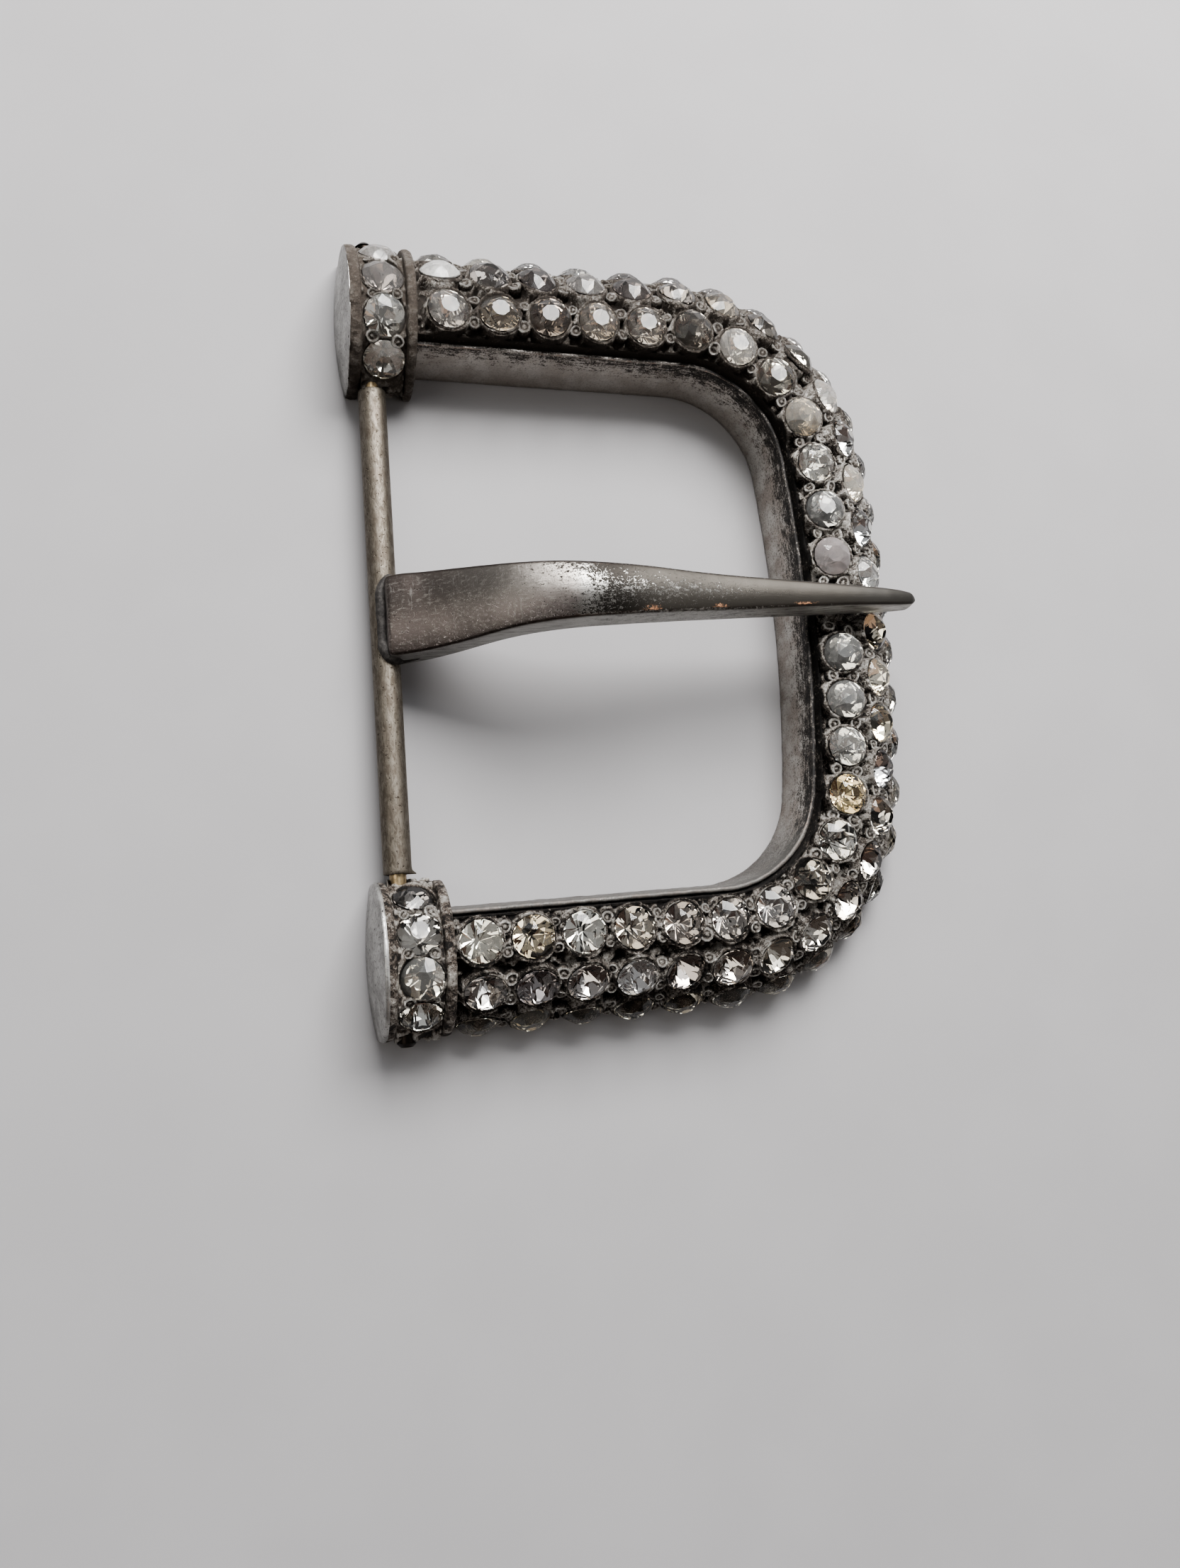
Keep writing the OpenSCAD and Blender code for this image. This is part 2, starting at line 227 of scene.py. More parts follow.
# %% Mesh helpers
def grid_faces(rows, cols):
    """Corner numbers of the quads of a grid whose last column joins the first, so that it
    closes into a tube."""
    i = np.arange(rows - 1)[:, None] * cols
    j = np.arange(cols)[None, :]
    k = (j + 1) % cols
    return np.stack([i + j, i + k, i + cols + k, i + cols + j], -1).reshape(-1, 4).tolist()


def tube_faces(rows, cols):
    """The same grid with one face over each of its two ends."""
    ends = [list(range(cols))[::-1], list(range((rows - 1) * cols, rows * cols))]
    return grid_faces(rows, cols) + ends


def add_piece(name, points, faces, material, body, numbers=None, smooth=True, slots=None):
    """Makes a mesh object from points in millimetres and lists of faces. numbers holds one
    array per named attribute, with a value for each point, and slots says which of several
    materials each face takes. The volume is a sixth of the sum of each triangle's triple
    product, and a shell where it comes out negative is turned round."""
    points = points.reshape(-1, 3)
    mesh = bpy.data.meshes.new(name)
    mesh.from_pydata(((points + ROD) * MM).tolist(), [], faces)
    for key, values in (numbers or {}).items():
        layer = mesh.attributes.new(key, "FLOAT", "POINT")
        layer.data.foreach_set("value", np.asarray(values, np.float32).ravel())
    mesh.polygons.foreach_set("use_smooth", np.full(len(mesh.polygons), smooth))
    for entry in material if isinstance(material, list) else [material]:
        mesh.materials.append(entry)
    if slots:
        mesh.polygons.foreach_set("material_index", slots)
    mesh.calc_loop_triangles()
    corners = np.empty(len(mesh.loop_triangles) * 3, np.int32)
    mesh.loop_triangles.foreach_get("vertices", corners)
    a, b, c = points[corners.reshape(-1, 3)].transpose(1, 0, 2)
    volume = (a * np.cross(b, c)).sum() / 6
    if volume < 0:
        mesh.flip_normals()
    mesh.update()
    piece = bpy.data.objects.new(name, mesh)
    bpy.context.scene.collection.objects.link(piece)
    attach(piece, body)
    print(name, len(mesh.loop_triangles), "triangles,", round(float(abs(volume)), 1), "mm3")
    return piece


def copies(shape, centres, right, up, facing):
    """Places a small shape (n points) at many centres: its own x, y and z run along the right,
    up and facing directions given for each centre."""
    frame_of = np.stack([right, up, facing], 1)
    return centres[:, None, :] + np.einsum("pk,nkc->npc", shape, frame_of)


def repeat_faces(faces, count, points_each):
    """The faces of one small shape, repeated for every copy of it."""
    return [[corner + copy * points_each for corner in face]
            for copy in range(count) for face in faces]


def cross_frame(facing):
    """Two directions square to each facing direction: its cross product with Y, and the
    cross product of the two."""
    right = unit(np.cross((0.0, 1.0, 0.0), facing))
    return right, np.cross(facing, right)


def round_angles(count, turn=0.0):
    """Even angles round a circle, shifted by a share of one step."""
    return (np.arange(count) + turn) * 2 * math.pi / count


def grain(points, size, seed):
    """A smooth random field from -1 to 1. Each corner of a lattice of the given size gets a
    random number from its own place, and a point blends the eight corners round it."""
    place = np.asarray(points, float) / size
    cell = np.floor(place).astype(np.int64)
    part = place - cell
    part = part * part * (3 - 2 * part)
    total = np.zeros(place.shape[:-1])
    for corner in np.ndindex(2, 2, 2):
        c = cell + np.array(corner)
        mixed = c[..., 0] * 73856093 ^ c[..., 1] * 19349663 ^ c[..., 2] * 83492791 ^ seed * 7919
        mixed = (mixed & 0xFFFFFFFF) * 1274126177 & 0xFFFFFFFF
        mixed = ((mixed ^ (mixed >> 15)) * 668265263 & 0xFFFFFFFF) >> 8
        value = (mixed & 0xFFFF) / 32767.5 - 1
        total += value * np.prod(np.where(corner, part, 1 - part), axis=-1)
    return total


# %% [markdown]
# ## Shader helpers
# All finishes below are noise, ramps and attributes in object space, so they hold still from
# every side. A few short wrappers keep the node graphs readable. Each finish starts from one
# colour, and every call of paint or cover lays the next one over it, as a painter would.

# %% Shader helpers
class Finish:
    """A material being built: its tree, its Principled shader, the object coordinates and the
    colour so far."""

    def __init__(self, name, colour):
        """Makes the material and keeps the parts of it that the other calls need."""
        self.material = bpy.data.materials.new(name)
        self.material.use_nodes = True
        self.tree = self.material.node_tree
        self.shader = self.tree.nodes["Principled BSDF"]
        self.coords = self.tree.nodes.new("ShaderNodeTexCoord").outputs["Object"]
        self.colour = colour

    def link(self, value, socket):
        """Joins an output to a socket, or writes a plain number or colour on it."""
        if isinstance(value, tuple):
            value = (*value, 1.0)
        if isinstance(value, bpy.types.NodeSocket):
            self.tree.links.new(value, socket)
        else:
            socket.default_value = value

    def noise(self, size, detail=3.0, rough=0.6, stretch=None, warp=0.0, at=None):
        """Noise whose main features are about size millimetres across."""
        node = self.tree.nodes.new("ShaderNodeTexNoise")
        for key, value in (("Scale", 1 / (size * MM)), ("Detail", detail),
                           ("Roughness", rough), ("Distortion", warp)):
            node.inputs[key].default_value = value
        vector = at or self.coords
        if stretch:
            shape = self.tree.nodes.new("ShaderNodeMapping")
            shape.inputs["Scale"].default_value = stretch
            self.link(vector, shape.inputs["Vector"])
            vector = shape.outputs["Vector"]
        self.link(vector, node.inputs["Vector"])
        return node.outputs["Fac"]

    def number(self, name):
        """A per-point number stored on the mesh."""
        node = self.tree.nodes.new("ShaderNodeAttribute")
        node.attribute_name = name
        return node.outputs["Fac"]

    def maths(self, operation, a, b=0.0):
        """One operation on one or two numbers."""
        node = self.tree.nodes.new("ShaderNodeMath")
        node.operation = operation
        self.link(a, node.inputs[0])
        self.link(b, node.inputs[1])
        return node.outputs[0]

    def add(self, a, b):
        """The sum of two numbers."""
        return self.maths("ADD", a, b)

    def less(self, a, b):
        """The first number less the second."""
        return self.maths("SUBTRACT", a, b)

    def times(self, a, b):
        """The product of two numbers."""
        return self.maths("MULTIPLY", a, b)

    def spread(self, noise, gain):
        """Noise shifted to run either side of zero, times a gain."""
        return self.times(self.less(noise, 0.5), gain)

    def step(self, value, low, high, out_low=0.0, out_high=1.0):
        """Maps low..high smoothly to out_low..out_high, and holds beyond."""
        node = self.tree.nodes.new("ShaderNodeMapRange")
        node.interpolation_type = "SMOOTHSTEP"
        for key, entry in zip(("Value", "From Min", "From Max", "To Min", "To Max"),
                              (value, low, high, out_low, out_high)):
            self.link(entry, node.inputs[key])
        return node.outputs["Result"]

    def y(self):
        """The place along Y, in metres."""
        parts = self.tree.nodes.new("ShaderNodeSeparateXYZ")
        self.link(self.coords, parts.inputs[0])
        return parts.outputs["Y"]

    def along_y(self, low, high):
        """0 below the one place along Y and 1 above the other, both in millimetres."""
        return self.step(self.y(), low * MM, high * MM)

    def strip(self, stretch):
        """A vector made of the distance along a piece and across it, both stored in
        millimetres, so that streaks can run along a curved wall."""
        node = self.tree.nodes.new("ShaderNodeCombineXYZ")
        self.link(self.times(self.number("along"), stretch * MM), node.inputs[0])
        self.link(self.times(self.number("across"), MM), node.inputs[1])
        return node.outputs[0]

    def mix(self, share, a, b):
        """Blends two colours. The node takes the share in its socket 0 and the colours in 6
        and 7, and gives the colour from its output 2."""
        node = self.tree.nodes.new("ShaderNodeMix")
        node.data_type = "RGBA"
        for value, number in ((share, 0), (a, 6), (b, 7)):
            self.link(value, node.inputs[number])
        return node.outputs[2]

    def cover(self, share, tone):
        """Lays a tone over the colour so far: a share of 0 keeps the colour, 1 hides it."""
        self.colour = self.mix(share, self.colour, tone)

    def paint(self, value, low, high, tone, most=1.0):
        """The same, by a share that goes from 0 to most while the value goes from low to
        high."""
        self.cover(self.step(value, low, high, 0.0, most), tone)

    def bump(self, height, depth):
        """Raises the surface by up to depth millimetres where height is 1."""
        node = self.tree.nodes.new("ShaderNodeBump")
        node.inputs["Strength"].default_value = 1.0
        node.inputs["Distance"].default_value = depth * MM
        self.link(height, node.inputs["Height"])
        self.link(node.outputs["Normal"], self.shader.inputs["Normal"])

    def set(self, **values):
        """Writes or joins the shader's own sockets, and gives back the material."""
        for key, value in values.items():
            self.link(value, self.shader.inputs[key.replace("_", " ")])
        return self.material


# %% [markdown]
# ## Finish: crusted cast metal
# The body was cast, blackened, and then worn bright only where a finger reaches. So one number
# on each point, its relief, decides everything: hollows stay black and dull, the slopes are
# brown, and the high places are bare grey metal. Noise of two sizes breaks the borders up. The
# inner wall and the caps' end faces are smoother, so each of them has a finish of its own.

# %% Crusted cast metal
BLACK = (0.009, 0.008, 0.0075)
BROWN = (0.085, 0.068, 0.056)
GREY = (0.30, 0.285, 0.262)
PALE = (0.60, 0.59, 0.565)
DUST = (0.058, 0.048, 0.040)


def crust_finish():
    """Black, brown, grey and pale in turn as the level rises. The level is the relief plus
    noise, with less of the fine noise where the piece is smooth. Brown dust lies on the upper
    rail and on the upper cap."""
    f = Finish("crusted_cast_metal", BLACK)
    fine = f.noise(0.25, 6, 0.8, warp=0.8)
    patch = f.noise(1.2, 3, 0.6)
    gritty = f.less(1.0, f.times(f.number("smooth"), 0.45))
    level = f.add(f.times(f.spread(fine, 3.0), gritty), f.spread(patch, 1.0))
    level = f.add(f.number("relief"), level)
    f.paint(level, 0.20, 0.42, BROWN)
    f.paint(level, 0.36, 0.62, GREY)
    f.paint(level, 0.68, 1.05, PALE)
    dusty = f.add(0.5, f.times(f.number("smooth"), 0.25))
    f.cover(f.times(f.along_y(16, 26), dusty), DUST)
    f.bump(level, 0.10)
    return f.set(Base_Color=f.colour, Metallic=f.step(level, 0.3, 0.55, 0.0, 0.95),
                 Roughness=f.step(level, 0.3, 1.0, 0.6, 0.3), Specular_IOR_Level=0.15)


def wall_finish():
    """The inner wall: mottled grey metal under a thin brown film, with a sooty band below the
    groove that breaks up into fine streaks, and a raised line whose crest is worn in spots.
    The wall is paler on the upper rail and darker on the lower one."""
    f = Finish("inner_wall_metal", (0.34, 0.305, 0.275))
    streaks = f.noise(0.34, 5, 0.72, at=f.strip(0.2))
    fine = f.noise(0.18, 4, 0.75)
    patch = f.noise(2.6, 4, 0.6)
    cloud = f.noise(1.1, 4, 0.65)
    dark = f.add(f.number("up"), f.add(f.spread(streaks, 1.5), f.spread(cloud, 0.9)))
    dark = f.add(dark, f.spread(fine, 1.5))
    f.paint(patch, 0.35, 0.68, (0.52, 0.505, 0.48))
    f.paint(cloud, 0.45, 0.7, (0.24, 0.208, 0.187), 0.5)
    f.paint(fine, 0.48, 0.66, (0.10, 0.088, 0.078), 0.6)
    f.cover(f.times(f.along_y(19, 26), 0.35), (0.62, 0.58, 0.54))
    f.paint(dark, 0.70, 1.05, (0.060, 0.052, 0.046))
    f.paint(dark, 0.92, 1.25, BLACK)
    crest = f.add(f.number("crest"), f.spread(fine, 2.6))
    worn_line = f.mix(f.step(cloud, 0.4, 0.6), (0.24, 0.225, 0.21), (0.25, 0.19, 0.16))
    f.paint(crest, 0.95, 1.35, worn_line, 0.85)
    lower_rail = f.less(1.0, f.along_y(-24, -18))
    f.cover(f.times(lower_rail, f.step(fine, 0.35, 0.6, 0.6, 0.9)), (0.062, 0.060, 0.056))
    f.bump(f.add(fine, f.times(streaks, 0.6)), 0.04)
    return f.set(Base_Color=f.colour, Metallic=f.step(dark, 0.6, 1.1, 0.9, 0.3),
                 Roughness=f.step(dark, 0.4, 1.0, 0.45, 0.62))


def end_face_finish():
    """The caps' smooth end faces: pale plated metal, cloudy, with small dark pits."""
    f = Finish("smooth_plated_metal", (0.25, 0.246, 0.238))
    fine = f.noise(0.3, 4, 0.7)
    pit = f.step(f.noise(0.34, 2, 0.5), 0.655, 0.72)
    f.paint(f.noise(1.8, 4, 0.6), 0.35, 0.65, (0.41, 0.407, 0.395))
    f.paint(fine, 0.50, 0.68, (0.13, 0.121, 0.113), 0.7)
    f.cover(pit, (0.03, 0.028, 0.026))
    f.bump(f.less(f.times(fine, 0.25), pit), 0.03)
    return f.set(Base_Color=f.colour, Metallic=0.9, Roughness=f.step(fine, 0.3, 0.7, 0.38, 0.52))


crust, wall_metal, end_face = crust_finish(), wall_finish(), end_face_finish()
print("cast metal finishes:", crust.name, wall_metal.name, end_face.name)

# %% [markdown]
# ## How the stones shape the metal round them
# Each stone was pressed into a drilled cone, and the metal round it was pushed up into a soft
# collar. Between the collars the casting stays low. Every point of the metal finds its nearest
# stone, and its distance from that stone's axis says how far it is moved.

# %% Relief round the stones
# The girdle is the stone's widest band, between the crown and the pavilion below it.
PAVILION_H, GIRDLE, SEAT_GAP = 1.8, 0.12, 0.12
SEAT_SLOPE = PAVILION_H / STONE_R
COLLAR_DROP, COLLAR_FLAT, COLLAR_FALL, COLLAR_ROUGH = 0.06, 0.2, 1.6, 0.10
COARSE_GRAIN, FINE_GRAIN = 0.62, 0.29
FAR, REACH = 99.0, 3.5
ALL_ROWS = [name + "_row_stones" for name in ROW_NAMES]


def blend(share, a, b):
    """From a where the share is 0 to b where it is 1, in a straight line."""
    return a * (1 - share) + share * b


def nearest_stone(points, names):
    """Distance from the nearest stone's axis, and height against the top of its girdle. For
    each stone in turn, the height is the dot product with its facing direction and the
    distance is what is left of the length."""
    best = np.full(len(points), FAR)
    height = np.zeros(len(points))
    for name in names:
        for centre, facing in zip(*stone_sets[name]):
            offset = points - centre
            h = offset @ facing
            rho = np.sqrt(np.maximum((offset ** 2).sum(1) - h ** 2, 0))
            closer = (rho < best) & (np.abs(h) < REACH)
            best[closer], height[closer] = rho[closer], h[closer]
    return best, height


def stone_relief(points, names, valley, coarse, bare):
    """How far each bed point moves along its own normal, and its relief from 0 to 1. Inside a
    stone it follows the seat's cone, just outside it the collar, which ends 0.2 to 0.5 mm
    away, and farther out the valley, all with noise of two sizes. In the valley the noise
    makes flat flakes that stand coarse higher than the pits between them, and bare is how
    much black is gone."""
    rho, height = nearest_stone(points, names)
    rough = grain(points, COARSE_GRAIN, 3) * 0.55 + grain(points, FINE_GRAIN, 4) * 0.45
    flake = ease(rough, -0.12, 0.30)
    beyond = rho - STONE_R
    seat = -GIRDLE + beyond * SEAT_SLOPE - SEAT_GAP
    fall = COLLAR_FALL * np.maximum(beyond - COLLAR_FLAT, 0) ** 1.5
    collar = -COLLAR_DROP + COLLAR_ROUGH * rough - fall
    inside = ease(beyond, -0.02, 0.08)
    outside = ease(beyond, 0.18 + 0.10 * rough, 0.5 + 0.12 * rough)
    move = (blend(inside, seat, collar) - height) * (1 - outside)
    move = move + outside * (valley + coarse * flake)
    relief = (bare + 0.35 + 0.4 * rough) * inside * (1 - outside)
    relief = relief + outside * (bare + 0.55 * flake)
    return move, np.clip(relief, 0, 1)


print("seats are", SEAT_GAP, "mm deeper than the", PAVILION_H, "mm cones in them")

# %% [markdown]
# ## The cast body
# The body is one section carried round the outline: a rounded bed for the three rows, a black
# groove, a thin raised line and an inner wall. A tool-made sweep couldn't carry the seats and
# collars, so the section becomes a dense grid and each point is moved by the relief above. A
# flat pad on the bar takes the tongue's tip, and the bed's outer side has no stones.

# %% Cast body
BED_EDGE, WALL_FOOT, LINE_Z = -1.75, -3.0, 6.1
REST_S, REST_R, REST_Z = 1.1, 1.8, 7.75
PAD_INNER, PAD_OUTER, PAD_SINK = 0.7, 0.15, 0.04
RAIL_LAP = 0.6
VALLEY, FLAKE, BARE, BAR_BARE = -0.62, 0.45, 0.05, 0.1
PLAIN_FROM, PLAIN_TO = 0.82, 0.93
STATIONS, BED_STEPS, GROOVE_STEPS, WALL_STEPS, BACK_STEPS = 776, 90, 5, 16, 7
WORN_LINE = [(-1.98, 5.60), (-2.04, 5.64), (-2.08, 5.92), (-2.14, 6.06), (-2.32, 6.11),
             (-2.48, 6.05)]


def section_points():
    """The closed section as points and normals: first the bed, by its angle from straight up,
    then the groove, the line, the wall and the flat back, each a run of even steps."""
    outer = math.acos(-BED_Z / BED_R)
    inner = math.asin((BED_EDGE - BED_U) / BED_R)
    tau = np.linspace(outer, inner, BED_STEPS)
    bed = np.stack([BED_U + BED_R * np.sin(tau), BED_Z + BED_R * np.cos(tau)], 1)
    groove = np.linspace((BED_EDGE - 0.03, bed[-1, 1] - 0.25), (-1.93, 5.72), GROOVE_STEPS)
    wall = np.linspace((-2.52, 5.88), (WALL_FOOT + 0.02, 0.12), WALL_STEPS)
    back_u = np.linspace(WALL_FOOT + 0.12, bed[0, 0] - 0.3, BACK_STEPS)
    back = np.stack([back_u, np.zeros(BACK_STEPS)], 1)
    inward = np.tile((-0.95, 0.2), (GROOVE_STEPS + len(WORN_LINE) + WALL_STEPS, 1))
    down = np.tile((0.0, -1.0), (BACK_STEPS, 1))
    return (np.concatenate([bed, groove, WORN_LINE, wall, back]),
            np.concatenate([np.stack([np.sin(tau), np.cos(tau)], 1), inward, down]))


def carried(pairs, start):
    """Carries pairs of a distance outwards and a height round the outline: the first number
    times each station's outward direction, from the start given, and the second as it is."""
    flat = start + pairs[None, :, :1] * outward[:, None, :]
    return np.concatenate([flat, np.broadcast_to(pairs[None, :, 1:], (*flat.shape[:2], 1))], 2)


section, section_normals = section_points()
columns = len(section)
line_end = BED_STEPS + GROOVE_STEPS + len(WORN_LINE)
back_start = columns - BACK_STEPS
stations = np.linspace(-HALF_LEN - RAIL_LAP, HALF_LEN + RAIL_LAP, STATIONS)
plan, outward = place_on_outline(stations, np.zeros(STATIONS))
body = carried(section, plan[:, None, :])
normal = carried(section_normals, 0.0)

bed_points = body[:, :BED_STEPS].reshape(-1, 3)
on_bar = 1 - ease(np.abs(stations), BAR_END, BAR_END + 10)
bare = np.repeat(BARE + BAR_BARE * on_bar, BED_STEPS)
move, relief = stone_relief(bed_points, ALL_ROWS, VALLEY, FLAKE, bare)
rest = np.append(place_on_outline(np.array([REST_S]), np.zeros(1))[0][0], REST_Z)
from_rest = np.linalg.norm((bed_points - rest)[:, :2], axis=1)
pad = 1 - ease(from_rest, REST_R - PAD_INNER, REST_R + PAD_OUTER)
pad = np.where(bed_points[:, 2] > LINE_Z - 0.1, pad, 0)
move = blend(pad, move, REST_Z - bed_points[:, 2] - PAD_SINK)
relief = blend(pad, relief, 0.55)
side = np.tile(ease(np.linspace(1, 0, BED_STEPS), PLAIN_FROM, PLAIN_TO), STATIONS)
move = blend(side, move, 0.05 * grain(bed_points, 0.9, 8) - 0.05)
relief = blend(side, relief, 0.5 + 0.25 * grain(bed_points, 1.1, 9))
body[:, :BED_STEPS] += normal[:, :BED_STEPS] * move.reshape(STATIONS, BED_STEPS, 1)
wall_part = body[:, BED_STEPS:back_start]
wobble = 0.035 * grain(wall_part, 0.8, 11) + 0.03 * grain(wall_part, 0.3, 12)
body[:, BED_STEPS:back_start] += normal[:, BED_STEPS:back_start] * wobble[..., None]

# What the finishes read: the relief, black in the groove; how far up the wall a point is, with
# more soot near the bar; how worn the raised line is, most of all along the lower rail; and the
# distances along and across the section.
relief_all = np.full((STATIONS, columns), 0.55)
relief_all[:, :BED_STEPS] = relief.reshape(STATIONS, BED_STEPS)
relief_all[:, BED_STEPS - 1:line_end - 3] = 0.02
soot = 0.20 * (1 - ease(np.abs(stations), 30, 46))
up = np.clip(section[:, 1] / LINE_Z, 0, 1)[None, :] + soot[:, None]
past_bar = ease(stations, BAR_END, BAR_END + 10)
crest = np.zeros((STATIONS, columns))
crest[:, line_end - 1] = 0.7 + 0.7 * past_bar
crest[:, line_end - 2] = 0.6 * past_bar
crest[:, line_end - 3:line_end] += 1.3 * ease(-stations, 14, 26)[:, None]
across = np.concatenate([[0], np.cumsum(np.linalg.norm(np.diff(section, axis=0), axis=1))])
column = np.arange(columns)
on_wall = (column >= line_end - 4) & (column < back_start - 1)
finish_of = np.tile(np.where(on_wall, 1, 0), STATIONS - 1).tolist() + [0, 0]
cast_body = add_piece("cast_body", body, tube_faces(STATIONS, columns), [crust, wall_metal],
                      "buckle", slots=finish_of,
                      numbers=dict(relief=relief_all, up=up, crest=crest,
                                   along=np.repeat(stations, columns),
                                   across=np.tile(across, STATIONS)))
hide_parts("frame")

# %% [markdown]
# ## The end caps
# A cap is a half-round saddle between two rims. Its outer end is a smooth shallow dome, and its
# channel holds four stones in a rough filling. Each row of the grid is the same D-shaped curve,
# an arc closed by the flat back, at its own place along X, with its own radius.

# %% End caps
RIM_R, END_X, END_R, BULGE_Z = 7.2, -3.0, 36.0, 0.6
EDGE_X, EDGE_R, DOME_SHARE, EDGE_SHARE = -2.22, 0.3, 0.975, 0.025
CHANNEL_LEFT, CHANNEL_RIGHT, FACE_X, FACE_R = -1.0, 2.95, 4.04, 6.9
CAP_MIDDLE_Z, CAP_FILLING, CAP_FLAKE, CAP_BARE = 2.6, 0.60, 0.36, 0.2
ARC_STEPS, CHORD_STEPS, BED_ROWS = 150, 14, 40
END_FACE, RIM, CHANNEL = 0, 1, 2
LEFT_RIM = [(-1.78, 7.2), (-1.62, 7.2), (-1.46, 7.18), (-1.3, 7.14), (-1.18, 7.06),
            (-1.1, 6.92), (-1.05, 6.7)]
RIGHT_RIM = [(3.03, 6.3), (3.06, 6.7), (3.10, 6.95), (3.18, 7.12), (3.32, 7.19), (3.5, 7.2),
             (3.68, 7.2), (3.84, 7.18), (3.96, 7.1), (4.02, 6.95)]


def cap_rows(edge_kind):
    """Rows as (x, radius, share of the way from the middle line, kind). The dome and the inner
    face use shares below 1, and the rims and the channel use radii. The dome has no x of its
    own yet. The rounded edge between it and the rim can be of either of their kinds."""
    turn = np.linspace(0, math.pi / 2, 6)[1:]
    dome = [(math.nan, RIM_R, k, END_FACE) for k in np.linspace(0.03, DOME_SHARE, 15)]
    edge = [(EDGE_X + EDGE_R * (1 - math.cos(a)), RIM_R, DOME_SHARE + EDGE_SHARE * math.sin(a),
             edge_kind) for a in turn]
    left = [(x, r, 1.0, RIM) for x, r in LEFT_RIM]
    bed = [(x, CAP_BED_R, 1.0, CHANNEL)
           for x in np.linspace(CHANNEL_LEFT, CHANNEL_RIGHT, BED_ROWS)]
    right = [(x, r, 1.0, RIM) for x, r in RIGHT_RIM]
    face = [(FACE_X, FACE_R, k, RIM) for k in np.linspace(0.98, 0.03, 8)]
    return np.array(dome + edge + left + bed + right + face)


def d_curve(radius):
    """Points (y, z) of an arc that ends on the flat back and is closed by it, for an array of
    radii. The arc's angle is measured from straight up, and ends where the height is zero."""
    limit = np.arccos(-CAP_Z / radius)[:, None]
    angle = np.linspace(-1, 1, ARC_STEPS)[None, :] * limit
    arc = np.stack([radius[:, None] * np.sin(angle), CAP_Z + radius[:, None] * np.cos(angle)], -1)
    share = np.linspace(1, -1, CHORD_STEPS + 2)[None, 1:-1]
    chord_y = share * radius[:, None] * np.sin(limit)
    return np.concatenate([arc, np.stack([chord_y, np.zeros_like(chord_y)], -1)], 1)


def cap_points(side, seed):
    """The whole cap, mirrored for the lower one, with its relief. The dome's x is that of a
    shallow bowl: the squared distance from its middle over twice its radius."""
    x, radius, share, kind = cap_rows(RIM if side > 0 else END_FACE).T
    yz = d_curve(radius)
    yz = (0, CAP_MIDDLE_Z) + share[:, None, None] * (yz - (0, CAP_MIDDLE_Z))
    dome_x = END_X + (yz[..., 0] ** 2 + (yz[..., 1] - BULGE_Z) ** 2) / (2 * END_R)
    xs = np.where(np.isnan(x)[:, None], dome_x, x[:, None])
    points = np.stack([xs, side * (CAP_Y + yz[..., 0]), yz[..., 1]], -1)
    radial = (points - (0.0, side * CAP_Y, CAP_Z)) * (0, 1, 1)
    radial /= np.maximum(np.linalg.norm(radial, axis=2, keepdims=True), 1e-6)
    sets = ["upper_cap_stones" if side > 0 else "lower_cap_stones"]
    move, relief = stone_relief(points.reshape(-1, 3), sets, CAP_FILLING, CAP_FLAKE,
                                CAP_BARE)
    move, relief = move.reshape(dome_x.shape), relief.reshape(dome_x.shape)
    steep = np.degrees(np.arccos(np.clip((points[..., 2] - CAP_Z) / CAP_BED_R, -1, 1)))
    move = move + 0.4 * ease(steep, 66, 80)
    rough = grain(points, 0.7, seed) * 0.6 + grain(points, 0.3, seed + 1) * 0.4
    low = ease(points[..., 2], 0.0, 1.6)
    rim_move = (kind == RIM)[:, None] * (0.14 * rough - 0.12)
    in_channel = (kind == CHANNEL)[:, None]
    on_arc = (np.arange(yz.shape[1]) < ARC_STEPS)[None, :]
    move = np.where(on_arc, np.where(in_channel, move * low, rim_move), 0.0)
    relief = np.where(on_arc, np.where(in_channel, relief, 0.38 + 0.35 * rough), 0.55)
    return points + radial * move[..., None], relief, kind


for side, name, seed in ((1, "upper_cap", 21), (-1, "lower_cap", 31)):
    points, relief, kind = cap_points(side, seed)
    rows, cols = relief.shape
    slots = np.repeat(np.where(kind[:-1] == END_FACE, 1, 0), cols).tolist() + [1, 0]
    add_piece(name, points, tube_faces(rows, cols), [crust, end_face], "buckle", slots=slots,
              numbers=dict(relief=relief, smooth=np.ones(relief.size)))

# %% [markdown]
# ## Cups and bead prongs
# A thin uneven cup edge stands round every girdle, and a beading tool has pressed small rings
# with a dot in the middle between neighbouring stones. Both are one small turned profile each,
# copied to every place, because there are nearly three hundred of them.

# %% Cups and bead prongs
def turned(profile, around):
    """Points of a profile of (radius, height) turned round its axis, row by row."""
    angle = round_angles(around)
    r, z = np.array(profile).T
    return np.stack([r[:, None] * np.cos(angle), r[:, None] * np.sin(angle),
                     np.broadcast_to(z[:, None], (len(r), around))], -1).reshape(-1, 3)


def ring_faces(rows, around):
    """Faces of a grid that wraps in both directions: its last row also joins the first."""
    last, k = (rows - 1) * around, np.arange(around)
    joint = np.stack([last + k, last + (k + 1) % around, (k + 1) % around, k], 1)
    return grid_faces(rows, around) + joint.tolist()


